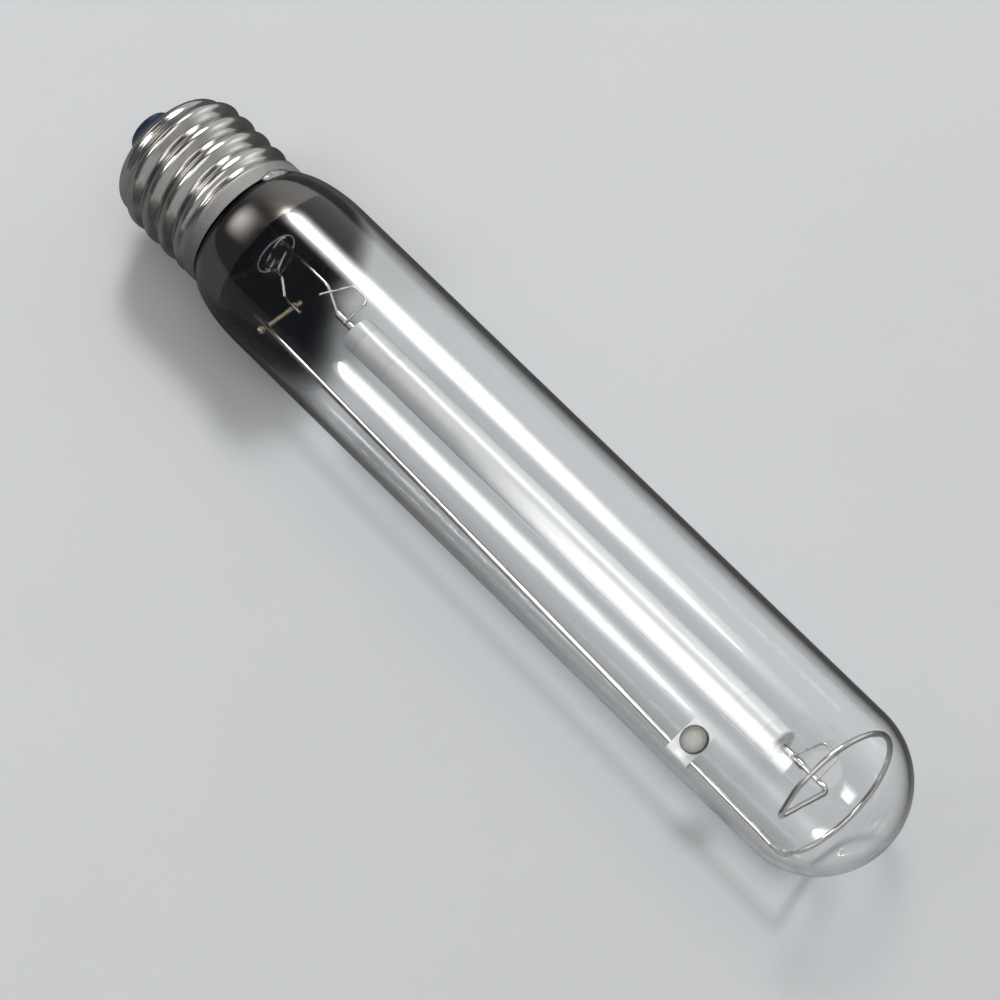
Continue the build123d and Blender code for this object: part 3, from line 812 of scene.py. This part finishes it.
def shell_outline(inset):
    """One side of the shell's sheet before the thread is rolled, from the end opening to the rim."""
    lamp = sizes()
    mean, skirt, opening = shell_radii()
    start = lamp.shell_end + lamp.shell_corner
    thread_end = lamp.rim - lamp.skirt_length
    fade = lamp.thread_fade
    bend = lamp.shell_corner - inset
    corner = arc((start, mean - lamp.shell_corner), bend, bend, 180.0, 90.0, 8)
    threaded = run((start, mean - inset), (thread_end - fade, mean - inset), SHELL_STEPS)
    flare = soft_corner(threaded[-1], (thread_end - fade / 2, mean - inset), (thread_end, skirt - inset), 10)
    skirt_run = run(flare[-1], (lamp.rim - lamp.shell_sheet, skirt - inset), 4)
    return [(lamp.shell_end + inset, opening)] + corner + threaded[1:] + flare[1:] + skirt_run[1:]


class LAMP_OT_base_shell(bpy.types.Operator):
    """Spin the base's sheet shell and roll its round thread"""

    bl_idname = "lamp.base_shell"
    bl_label = "Base Shell"

    def execute(self, context):
        lamp = sizes()
        skirt = shell_radii()[1]
        outside = shell_outline(0.0)
        inside = shell_outline(lamp.shell_sheet)
        half = lamp.shell_sheet / 2
        rim = arc((lamp.rim - half, skirt - half), half, half, 80.0, -80.0, 6)
        shell = lathe("threaded_base", outside + rim + inside[::-1], lamp.round_steps)
        mesh = bmesh.new()
        mesh.from_mesh(shell.data)
        for vertex in mesh.verts:
            across = vertex.co - lamp_point(vertex.co.x)
            vertex.co += across.normalized() * thread_rise(vertex.co)
        mesh.to_mesh(shell.data)
        mesh.free()
        smooth(shell, 50.0)
        shell.data.materials.append(nickel_plating())
        keep(shell, "base_metal", "base_shell")
        return {"FINISHED"}


def nickel_plating():
    """Plated sheet: polished on the thread, with painted shade in its valleys, satin and speckled on the
    skirt.
    """
    lamp = sizes()
    tones = finishes()
    material, nodes, links, shader = new_material("nickel plating")
    place = object_place(nodes)
    station = split(nodes, links, place)["X"]
    across = vector_math(nodes, links, "MULTIPLY_ADD", place, (0.0, 1.0, 1.0), (0.0, 0.0, -lamp.axis_height))
    radius = vector_math(nodes, links, "LENGTH", across["Vector"])["Value"]
    skirt = lamp.rim - lamp.skirt_length
    on_skirt = spread_between(nodes, links, station, skirt, skirt + 0.3 * lamp.skirt_length)
    # Painted shade: the thread's valleys are darkened by their depth, except near the shell's end.
    root = lamp.crest_radius - lamp.thread_depth
    valley_shade_mask = spread_between(nodes, links, radius, root, root + 0.3 * lamp.thread_depth, 1.0, 0.0)
    first_turn = lamp.shell_end + lamp.thread_start
    on_thread = spread_between(nodes, links, station, first_turn - 0.5 * lamp.thread_start, first_turn)
    valley_painted_shade = join(nodes, links, "MULTIPLY", valley_shade_mask, on_thread)

    tone = blend(nodes, links, mottle(nodes, 70.0, high=0.8), tones.nickel, tones.nickel_shade)
    tone = blend(nodes, links, valley_painted_shade, tone, tones.valley_painted_shade)
    tone = blend(nodes, links, on_skirt, tone, tones.skirt)
    polished, satin = mottle(nodes, 900.0, 0.13, 0.22), mottle(nodes, 2500.0, 0.54, 0.68)
    roughness = blend(nodes, links, on_skirt, polished, satin, "FLOAT")
    set_sockets(links, shader, Metallic=1.0, Base_Color=tone, Roughness=roughness)
    rolled_lines = mottle(nodes, 1000.0, high=0.35, stretch=ROLLED, detail=1.0)
    speckle = mottle(nodes, 2200.0, detail=2.0)
    bump(nodes, links, blend(nodes, links, on_skirt, rolled_lines, speckle, "FLOAT"), shader, 0.12 * MM)
    return material


# Base end
class LAMP_OT_base_end(bpy.types.Operator):
    """Spin the dark insulator, the centre contact and its solder"""

    bl_idname = "lamp.base_end"
    bl_label = "Base End"

    def execute(self, context):
        lamp = sizes()
        face = insulator_low.x
        edge = lamp.insulator_edge
        end = lamp.insulator_end_radius
        seat = lamp.insulator_seat_radius
        flange = insulator_high.y
        under_lip = lamp.shell_end + lamp.shell_sheet
        round_edge = arc((face + edge, end - edge), edge, edge, 180.0, 100.0, 8)
        cheek = soft_corner(round_edge[-1], (face + 4 * edge, end + edge), (lamp.shell_end, seat), 14)
        outline = [(face, lamp.passage_radius)] + round_edge + cheek[1:]
        outline += [(under_lip, seat), (under_lip, flange), (insulator_high.x, flange)]
        outline += [(insulator_high.x, lamp.passage_radius)]
        insulator = lathe("insulator", outline, lamp.round_steps)
        smooth(insulator)
        insulator.data.materials.append(insulator_glass())
        keep(insulator, "insulator_glass", "base_insulator")

        thick = contact_high.x - contact_low.x
        radius = lamp.contact_radius
        crown = arc((contact_high.x, radius - thick), thick, thick, 90.0, 180.0, 6)
        dished = contact_low.x + 0.15 * thick
        dish = [(dished, 0.55 * radius), (dished, 0.0)]
        outline = [(contact_high.x, 0.0)] + crown + dish
        plate = lathe("centre_contact", outline, SMALL_ROUND_STEPS, closed=False)
        smooth(plate)
        plate.data.materials.append(metal("contact brass", finishes().brass, 0.28, 500.0))
        keep(plate, "contact_metal", "contact_plate")

        base = (tip_high.y - tip_low.y) / 2
        height = tip_high.x - tip_low.x - lamp.tip_lumps / 2
        cap = arc((tip_high.x, 0.0), height, base, 90.0, 180.0, 16)
        back = contact_low.x + 0.2 * thick
        tip = lathe("contact_tip", [(back, 0.0), (back, base)] + cap, 64, closed=False)
        lumps(tip, 1.6 * MM, lamp.tip_lumps, detail=1)
        tip.data.materials.append(solder_metal())
        keep(tip, "solder", "contact_solder")
        return {"FINISHED"}


def insulator_glass():
    """Dark fused glass with a glossy skin and slight waves."""
    material, nodes, links, shader = new_material("insulator glass")
    set_sockets(
        links, shader, Coat_Weight=0.6,
        Base_Color=mottled(nodes, links, finishes().insulator, 2.2, 200.0),
        Roughness=mottle(nodes, 300.0, 0.08, 0.2),
    )
    bump(nodes, links, mottle(nodes, 150.0), shader, 0.01 * MM)
    return material


class LAMP_OT_solder_bead(bpy.types.Operator):
    """Drop the solder bead on the rim of the shell"""

    bl_idname = "lamp.solder_bead"
    bl_label = "Solder Bead"

    def execute(self, context):
        lamp = sizes()
        front, wire_side = lamp_sides()
        away = front * math.sin(lamp.bead_angle) + wire_side * math.cos(lamp.bead_angle)
        skirt = shell_radii()[1]
        centre = lamp_point(lamp.rim + 0.4 * lamp.bead_wide) + away * (skirt - 0.1 * lamp.bead_high)
        place = axes_at(centre, ALONG_LAMP, away.cross(ALONG_LAMP), away)
        half_sizes = (lamp.bead_wide, lamp.bead_long, lamp.bead_high)
        bead = blob("solder_bead", place, half_sizes, 1.9 * MM, lamp.bead_lumps, detail=2)
        bead.data.materials.append(solder_metal())
        keep(bead, "solder", "rim_solder")
        return {"FINISHED"}


# Stem
class LAMP_OT_glass_stem(bpy.types.Operator):
    """Spin the flared stem tube and press the glass round its leads"""

    bl_idname = "lamp.glass_stem"
    bl_label = "Glass Stem"

    def execute(self, context):
        lamp = sizes()
        glass = clear_glass("stem glass", finishes().glass, finishes().stem_shade)
        self.spin_tube(lamp, glass)

        edge = lamp.fused_edge
        # The lip ring is pale glass with painted glints.
        ring = arc((lamp.stem_lip + lamp.stem_wall, lamp.stem_radius), edge, edge, 0.0, 330.0, 11)
        rim = lathe("stem_rim", ring, SMALL_ROUND_STEPS)
        smooth(rim)
        rim.data.materials.append(glass_with_painted_glints("fused rim", finishes().rim, 0.35, 1.0))
        keep(rim, "stem_glass")

        front, wire_side = lamp_sides()
        turn = -lamp.press_turn
        across = front * math.sin(turn) + wire_side * math.cos(turn)
        through = ALONG_LAMP.cross(across)
        top = lamp_point(lamp.press_top)
        self.press_glass(axes_at(top, ALONG_LAMP, across, through), glass)

        # Loops of pale glass round the press: painted glints.
        painted_glint = glass_with_painted_glints("press glint", finishes().painted_glint, -1.6, 2.2)
        for name, (under, width, thick) in PRESS_GLINT_LOOPS.items():
            place = axes_at(top - ALONG_LAMP * (under * MM), across, through, ALONG_LAMP)
            self.bend_glint_loop(name, place, width, thick, painted_glint)
        return {"FINISHED"}

    def spin_tube(self, lamp, glass):
        """The stem tube, from its flare in the neck to its rounded lip."""
        thin, lip_half = lamp.stem_wall, 0.6 * lamp.stem_wall
        flare = lamp.neck_radius - lamp.glass_wall - lamp.stem_gap
        bend = flare - lamp.stem_radius
        tube_start = lamp.neck_end + thin + bend
        bore = lamp.stem_radius - thin
        outside = arc((tube_start, flare), bend, bend, 180.0, 270.0, 16)
        outside += run((tube_start, lamp.stem_radius), (lamp.stem_lip, lamp.stem_radius), 4)[1:]
        lip = arc((lamp.stem_lip, lamp.stem_radius - lip_half), thin, lip_half, 90.0, -90.0, 10)
        inside = run((lamp.stem_lip, bore), (tube_start, bore), 4)
        inside += arc((tube_start, flare), bend + thin, bend + thin, 270.0, 180.0, 16)[1:]
        tube = lathe("stem_tube", outside + lip[1:-1] + inside, SMALL_ROUND_STEPS)
        smooth(tube)
        tube.data.materials.append(glass)
        keep(tube, "stem_glass", "stem")

    def press_glass(self, place, glass):
        """The flat press, extruded from section to section and softened."""
        begin()
        bpy.ops.mesh.primitive_cube_add(size=1.0)
        press = just_added("stem_press")
        edit_all()
        first, width, thick = PRESS_SECTIONS[0]
        bpy.ops.transform.resize(value=(MM, width * MM, thick * MM))
        bpy.ops.transform.translate(value=(first * MM - 0.5 * MM, 0.0, 0.0))
        for (x0, w0, t0), (x1, w1, t1) in zip(PRESS_SECTIONS, PRESS_SECTIONS[1:]):
            select_end(press, 0)
            bpy.ops.mesh.extrude_region_move(TRANSFORM_OT_translate={"value": ((x1 - x0) * MM, 0.0, 0.0)})
            bpy.ops.transform.resize(value=(1.0, w1 / w0, t1 / t0))
        bpy.ops.object.mode_set(mode="OBJECT")
        apply_modifier(press, "SUBSURF", levels=3, render_levels=3)
        settle(press, place)
        bpy.ops.object.shade_smooth()
        press.data.materials.append(glass)
        keep(press, "stem_glass")

    def bend_glint_loop(self, name, place, width, thick, painted_glint):
        """A loop of fused glass round the press, drawn pale with painted glints."""
        begin()
        bpy.ops.curve.primitive_bezier_circle_add(radius=1.0)
        loop = bpy.context.object
        loop.name = name
        bpy.ops.object.mode_set(mode="EDIT")
        bpy.ops.curve.select_all(action="SELECT")
        bpy.ops.transform.resize(value=(width / 2 * MM, thick / 2 * MM, 1.0))
        bpy.ops.object.mode_set(mode="OBJECT")
        loop.data.bevel_depth = sizes().fused_edge
        loop.data.resolution_u = CURVE_STEPS
        bpy.ops.object.convert(target="MESH")
        loop = just_added(name)
        settle(loop, place)
        bpy.ops.object.shade_smooth()
        loop.data.materials.append(painted_glint)
        keep(loop, "stem_glass")


# Getter
def getter_place():
    """Matrix of the getter: x along the frame wire, y towards the axis, z towards the front."""
    lamp = sizes()
    front, wire_side = lamp_sides()
    along = (ALONG_LAMP + wire_side * lamp.wire_slope).normalized()
    origin = lamp_point(lamp.getter_station, to_wire=lamp.getter_offset)
    return axes_at(origin, along, front.cross(along), front)


class LAMP_OT_getter(bpy.types.Operator):
    """Fold the getter plate round the frame wire and press its pill"""

    bl_idname = "lamp.getter"
    bl_label = "Getter"

    def execute(self, context):
        lamp = sizes()
        self.fold_plate(lamp)
        self.press_pill(lamp)
        return {"FINISHED"}

    def fold_plate(self, lamp):
        """The plate, drawn as its folded edge and extruded along the wire."""
        lift, fold = lamp.getter_lift, lamp.getter_fold
        outline = [(lamp.getter_tail - fold, -lift)]
        outline += arc((-fold, 0.0), lift, lift, 270.0, 90.0, 16)
        outline += [(lamp.getter_width - fold, lift)]
        plate = draw_line("getter_sheet", [(-lamp.getter_length / 2, y, z) for y, z in outline])
        bpy.ops.mesh.extrude_region_move(TRANSFORM_OT_translate={"value": (lamp.getter_length, 0.0, 0.0)})
        mesh = bmesh.from_edit_mesh(plate.data)
        furthest = max(vertex.co.y for vertex in mesh.verts)
        for vertex in mesh.verts:
            vertex.select_set(vertex.co.y > furthest - 0.01 * MM)
        mesh.select_flush(True)
        bmesh.update_edit_mesh(plate.data)
        bpy.ops.mesh.bevel(affect="VERTICES", offset=lamp.getter_corner, segments=6)
        bpy.ops.object.mode_set(mode="OBJECT")
        apply_modifier(plate, "SOLIDIFY", thickness=lamp.getter_sheet, offset=0.0)
        apply_modifier(plate, "BEVEL", width=lamp.getter_edge, segments=2, limit_method="ANGLE")
        settle(plate, getter_place())
        smooth(plate, 40.0)
        plate.data.materials.append(getter_metal())
        keep(plate, "getter_metal", "getter_plate")

    def press_pill(self, lamp):
        """The pill on the plate, with a raised rim and painted shade round its edge."""
        seat = lamp.getter_lift + lamp.getter_sheet / 2
        centre = Vector((lamp.pill_shift, lamp.pill_offset, seat + lamp.pill_height / 2))
        begin()
        bpy.ops.mesh.primitive_cylinder_add(
            vertices=72, radius=lamp.pill_radius, depth=lamp.pill_height, location=centre
        )
        pill = just_added("getter_powder")
        bpy.ops.object.transform_apply(location=True, rotation=True, scale=True)
        bpy.ops.object.mode_set(mode="EDIT")
        bpy.ops.mesh.select_mode(type="FACE")
        select_end(pill, 2)
        bpy.ops.mesh.inset(thickness=lamp.pill_rim)
        bpy.ops.mesh.inset(thickness=lamp.pill_groove, depth=-lamp.pill_dish)
        bpy.ops.mesh.inset(thickness=lamp.pill_crown_width, depth=lamp.pill_crown)
        bpy.ops.object.mode_set(mode="OBJECT")
        limit = math.radians(50.0)
        apply_modifier(
            pill, "BEVEL", width=lamp.pill_edge, segments=3, limit_method="ANGLE", angle_limit=limit
        )
        pill.data.materials.append(pressed_powder(getter_place() @ centre))
        # Painted shade: the pill's edge takes a dark finish.
        pill.data.materials.append(ceramic("getter pill edge", finishes().pill_edge, 0.5, 900.0, 0.7))
        for face in pill.data.polygons:
            reach = (face.center - centre).xy.length
            face.material_index = 1 if reach > lamp.pill_radius - lamp.pill_shade_edge else 0
        settle(pill, getter_place())
        smooth(pill, 40.0)
        keep(pill, "getter_powder", "getter_pill")


def pressed_powder(centre):
    """Pale powder with painted shade that grows from the pill's centre to its edge."""
    tones = finishes()
    radius = sizes().pill_radius
    material, nodes, links, shader = new_material("getter powder")
    reach = vector_math(nodes, links, "DISTANCE", object_place(nodes), centre)["Value"]
    pill_painted_shade = spread_between(nodes, links, reach, 0.3 * radius, 1.05 * radius, 0.0, 0.7)
    tone = mottled(nodes, links, tones.powder, 0.8, 1100.0)
    set_sockets(
        links, shader,
        Base_Color=blend(nodes, links, pill_painted_shade, tone, tones.pill_edge),
        Roughness=mottle(nodes, 900.0, 0.6, 0.8),
    )
    bump(nodes, links, mottle(nodes, 1800.0), shader, 0.02 * MM)
    return material


def getter_metal():
    """Bright matte sheet."""
    material, nodes, links, shader = new_material("getter sheet")
    set_sockets(
        links, shader, Metallic=0.2,
        Base_Color=mottled(nodes, links, finishes().getter_sheet, 0.88, 350.0),
        Roughness=mottle(nodes, 900.0, 0.30, 0.42),
    )
    bump(nodes, links, mottle(nodes, 500.0, detail=2.0), shader, 0.015 * MM)
    return material


# Welds
class LAMP_OT_welds(bpy.types.Operator):
    """Set the weld nuggets where the wires cross and on the end of the cross bar"""

    bl_idname = "lamp.welds"
    bl_label = "Welds"

    def execute(self, context):
        even = Matrix.Identity(3).row
        metals = {
            "wire": metal("weld metal", finishes().wire, 0.26, 700.0, dullness=0.6, depth=0.02),
            "bar": metal("bar end", finishes().bar, 0.2, 700.0, dullness=0.7, depth=0.02),
        }
        for index, (name, row) in enumerate(NUGGETS.items()):
            finish, slot, station, to_front, to_wire, radius = row
            place = axes_at(lamp_point(station * MM, to_front * MM, to_wire * MM), *even)
            half_sizes = (1.1 * radius * MM, radius * MM, radius * MM)
            nugget = blob(name, place, half_sizes, 0.7 * MM, 0.3 * MM, detail=index + 1)
            nugget.data.materials.append(metals[finish])
            keep(nugget, slot)
        return {"FINISHED"}


# Finishes of the solids that show as they are
class LAMP_OT_finishes(bpy.types.Operator):
    """Give each solid that shows as it is a finish of its own"""

    bl_idname = "lamp.finishes"
    bl_label = "Finishes"

    def execute(self, context):
        tones = finishes()
        wire = metal("bright wire", tones.wire, 0.22, 900.0, DRAWN)
        tungsten = metal("tungsten", tones.tungsten, 0.4, 900.0, DRAWN)
        niobium = metal("niobium", tones.niobium, 0.26, 900.0, DRAWN)
        plug = ceramic("plug ceramic", tones.plug, 0.55, 900.0)
        frit = ceramic("sealing frit", tones.frit, 0.35, 700.0)
        looks = {
            "frame_wire": metal("frame wire", tones.wire, 0.12, 700.0, DRAWN, dullness=0.7),
            "cross_bar": metal("cross bar", tones.bar, 0.13, 700.0),
            "basing_cement": ceramic("basing cement", tones.cement, 0.8, 500.0, 0.6),
            "arc_tube": alumina(),
            "amalgam_pellet": metal("amalgam", tones.wire, 0.2, 900.0),
        }
        for wire_name in ("frame_lead", "arc_lead", "contact_lead", "rim_lead", "base_jumper", "dome_jumper"):
            looks[wire_name + "_wire"] = wire
        for end in ("base", "dome"):
            looks[end + "_end_plug"] = plug
            looks[end + "_seal_ring"] = frit
            looks[end + "_niobium_tube"] = niobium
            looks[end + "_electrode_rod"] = tungsten
            looks[end + "_electrode_coil"] = tungsten
        for name, material in looks.items():
            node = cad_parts[name]
            node.data.materials.clear()
            node.data.materials.append(material)
        return {"FINISHED"}


def alumina():
    """Translucent sintered alumina, through which the ends of the plugs show as faint rings, with painted
    light and shade along its length, darkest at the base end.
    """
    material, nodes, links, shader = new_material("translucent alumina")
    full = arc_high.x - arc_low.x
    station = split(nodes, links, object_place(nodes))["X"]
    from_end = join(nodes, links, "SUBTRACT", station, arc_low.x)
    part = join(nodes, links, "DIVIDE", from_end, full)
    tones = [(distance * MM / full, ARC_LIGHT_AND_SHADE["base"] * tone) for distance, tone in ARC_RINGS]
    tones.append((0.5, ARC_LIGHT_AND_SHADE["middle"]))
    far_end = reversed(ARC_RINGS)
    tones += [(1.0 - distance * MM / full, ARC_LIGHT_AND_SHADE["dome"] * tone) for distance, tone in far_end]
    ramp = nodes.new("ShaderNodeValToRGB")
    stops = ramp.color_ramp.elements
    stops.remove(stops[-1])
    for index, (distance, tone) in enumerate(tones):
        stop = stops.new(distance) if index else stops[0]
        stop.color = (*shaded(finishes().alumina, tone), 1.0)
    links.new(part, ramp.inputs["Fac"])
    set_sockets(
        links, shader, IOR=1.7, Coat_Weight=0.6, Coat_Roughness=0.08,
        Subsurface_Weight=0.7, Subsurface_Radius=EVEN, Subsurface_Scale=3 * MM,
        Base_Color=ramp.outputs["Color"],
        Roughness=mottle(nodes, 700.0, 0.36, 0.44, SINTERED, detail=1.0),
    )
    return material


# Stage
def add_light(kind, name, turn, place=(0.0, 0.0, 0.0)):
    """Adds a light that is turned by a quaternion."""
    begin()
    bpy.ops.object.light_add(type=kind, location=place)
    light = bpy.context.object
    light.name = name
    light.rotation_mode = "QUATERNION"
    light.rotation_quaternion = turn
    return light


def soft_light(name, brightness, place, aim, along, across, soft_ends, soft_sides, falloff=1.0):
    """Rectangular light along the lamp that grows dim towards its edges."""
    away = (Vector(place) - aim).normalized()
    lengthwise = (ALONG_LAMP - away * away.x).normalized()
    turn = Matrix((lengthwise, away.cross(lengthwise), away)).transposed().to_quaternion()
    light = add_light("AREA", name, turn, place)
    light.visible_camera = False
    light.data.shape = "RECTANGLE"
    light.data.size = along
    light.data.size_y = across
    light.data.energy = 4.0 * brightness * along * across

    light.data.use_nodes = True
    nodes, links = light.data.node_tree.nodes, light.data.node_tree.links
    spot = split(nodes, links, nodes.new("ShaderNodeNewGeometry").outputs["Parametric"])
    levels = []
    for side, soft in (("X", soft_ends), ("Y", soft_sides)):
        from_edge = join(nodes, links, "PINGPONG", spot[side], 0.5)
        levels.append(spread_between(nodes, links, from_edge, 0.0, 0.5 * soft))
    level = join(nodes, links, "MULTIPLY", *levels)
    links.new(join(nodes, links, "POWER", level, falloff), nodes["Emission"].inputs["Strength"])


def far_light(name, strength, spread, towards):
    """Wide light from far away."""
    light = add_light("SUN", name, towards.to_track_quat("Z", "Y"))
    light.data.energy = strength
    light.data.angle = spread
    return light


def floor_material():
    """Plain pale floor with a faint unevenness, which mirrors show with painted shade towards the base and
    behind the lamp.
    """
    stage = settings()
    material, nodes, links, shader = new_material("pale floor")
    pale = mottled(nodes, links, stage.floor, 0.96, 6.0)
    # Painted shade: mirrors show the floor darker towards the base and behind the lamp, and brighter by the
    # dome.
    depth = nodes.new("ShaderNodeLightPath").outputs["Glossy Depth"]
    mirrored = join(nodes, links, "GREATER_THAN", depth, 0.5)
    place = split(nodes, links, object_place(nodes))
    by_dome = spread_between(nodes, links, place["X"], *DOME_FLOOR)
    by_base = spread_between(nodes, links, place["X"], *BASE_FLOOR, BASE_FLOOR_SHARE, 0.0)
    to_front = spread_between(nodes, links, place["Y"], *FRONT_FLOOR, 1.0, 0.0)
    painted_floor_light = join(nodes, links, "MAXIMUM", by_dome, by_base)
    painted_floor_light = join(nodes, links, "MULTIPLY", painted_floor_light, to_front)
    near, far = shaded(stage.floor, stage.mirrored_shade_near), shaded(stage.floor, stage.mirrored_shade_far)
    darker = blend(nodes, links, painted_floor_light, near, far)
    set_sockets(
        links, shader, Specular_IOR_Level=0.2,
        Base_Color=blend(nodes, links, mirrored, pale, darker),
        Roughness=mottle(nodes, 40.0, 0.7, 0.85),
    )
    return material


def studio_world():
    """Even light that is pale behind the lamp and beyond its dome, before a plain backdrop."""
    stage = settings()
    world = bpy.data.worlds.new("studio")
    world.use_nodes = True
    nodes, links = world.node_tree.nodes, world.node_tree.links
    direction = split(nodes, links, nodes.new("ShaderNodeTexCoord").outputs["Generated"])
    behind = spread_between(nodes, links, direction["Y"], *PALE_BEHIND)
    ahead = spread_between(nodes, links, direction["X"], *PALE_AHEAD, 0.0, PALE_AHEAD_SHARE)
    pale = join(nodes, links, "MAXIMUM", behind, ahead)
    around = blend(nodes, links, pale, stage.ambient, stage.pale_side)
    seen = nodes.new("ShaderNodeLightPath").outputs["Is Camera Ray"]
    links.new(blend(nodes, links, seen, around, stage.backdrop), nodes["Background"].inputs["Color"])
    return world


class LAMP_OT_stage(bpy.types.Operator):
    """Lay the floor, hang the lights and place the camera"""

    bl_idname = "lamp.stage"
    bl_label = "Stage"

    def execute(self, context):
        stage = settings()
        begin()
        bpy.ops.mesh.primitive_plane_add(size=stage.floor_size)
        floor = just_added("floor")
        floor.data.materials.append(floor_material())

        aim = lamp_point(stage.aim_x)
        soft_light("rear_strip", stage.rear_level, stage.key_place, aim, **REAR_STRIP)
        soft_light("front_box", stage.front_level, stage.front_place, aim, **FRONT_BOX)
        soft_light("base_window", stage.base_level, stage.base_place, aim, **BASE_WINDOW)
        soft_light("side_window", stage.side_level, stage.side_place, aim, **SIDE_WINDOW)
        far_light("overhead", stage.top_level, stage.top_spread, Vector(stage.top_side))
        key = far_light("key", stage.key_level, stage.key_spread, Vector(stage.key_place) - aim)
        key.visible_glossy = False
        context.scene.world = studio_world()

        self.place_camera(stage, aim)
        context.scene.view_settings.view_transform = "Standard"
        context.scene.cycles.transparent_max_bounces = 32
        return {"FINISHED"}

    def place_camera(self, stage, aim):
        """The camera, moved aside so that the aim lies off the picture's centre."""
        turn, rise = stage.view_azimuth, stage.view_elevation
        back = Vector((math.sin(turn) * math.cos(rise), -math.cos(turn) * math.cos(rise), math.sin(rise)))
        heading = (-back).to_track_quat("-Z", "Y")
        right, up = heading @ Vector((1.0, 0.0, 0.0)), heading @ Vector((0.0, 1.0, 0.0))
        per_pixel = stage.view_distance * SENSOR_WIDTH / (stage.lens * stage.picture_width)
        aside = (right * stage.aim_right + up * stage.aim_up) * per_pixel
        begin()
        bpy.ops.object.camera_add(location=aim + back * stage.view_distance - aside)
        camera = just_added("camera")
        camera.rotation_mode = "QUATERNION"
        camera.rotation_quaternion = heading
        camera.data.lens = stage.lens
        camera.data.sensor_width = SENSOR_WIDTH
        bpy.context.scene.camera = camera


class LAMP_PT_panel(bpy.types.Panel):
    """Lists the lamp's pieces and their settings"""

    bl_idname = "LAMP_PT_panel"
    bl_label = "Sodium Lamp"
    bl_space_type = "VIEW_3D"
    bl_region_type = "UI"
    bl_category = "Lamp"

    def draw(self, context):
        for operator in OPERATORS:
            self.layout.operator(operator.bl_idname)
        for group in (sizes(), finishes(), settings()):
            box = self.layout.box()
            for name in group.bl_rna.properties.keys():
                if name not in ("rna_type", "name"):
                    box.prop(group, name)


OPERATORS = (
    LAMP_OT_outer_bulb,
    LAMP_OT_mirror_film,
    LAMP_OT_base_shell,
    LAMP_OT_base_end,
    LAMP_OT_solder_bead,
    LAMP_OT_glass_stem,
    LAMP_OT_getter,
    LAMP_OT_welds,
    LAMP_OT_finishes,
    LAMP_OT_stage,
)
GROUPS = {"lamp_sizes": LampSizes, "lamp_finishes": LampFinishes, "lamp_stage": StageSettings}


def register():
    for group in GROUPS.values():
        bpy.utils.register_class(group)
    for name, group in GROUPS.items():
        setattr(bpy.types.Scene, name, bpy.props.PointerProperty(type=group))
    for operator in OPERATORS:
        bpy.utils.register_class(operator)
    bpy.utils.register_class(LAMP_PT_panel)


def unregister():
    bpy.utils.unregister_class(LAMP_PT_panel)
    for operator in reversed(OPERATORS):
        bpy.utils.unregister_class(operator)
    for name in GROUPS:
        delattr(bpy.types.Scene, name)
    for group in reversed(GROUPS.values()):
        bpy.utils.unregister_class(group)


def main():
    register()
    bpy.ops.lamp.outer_bulb()
    bpy.ops.lamp.mirror_film()
    bpy.ops.lamp.base_shell()
    bpy.ops.lamp.base_end()
    bpy.ops.lamp.solder_bead()
    bpy.ops.lamp.glass_stem()
    bpy.ops.lamp.getter()
    bpy.ops.lamp.welds()
    bpy.ops.lamp.finishes()
    bpy.ops.lamp.stage()


if __name__ == "__main__":
    main()
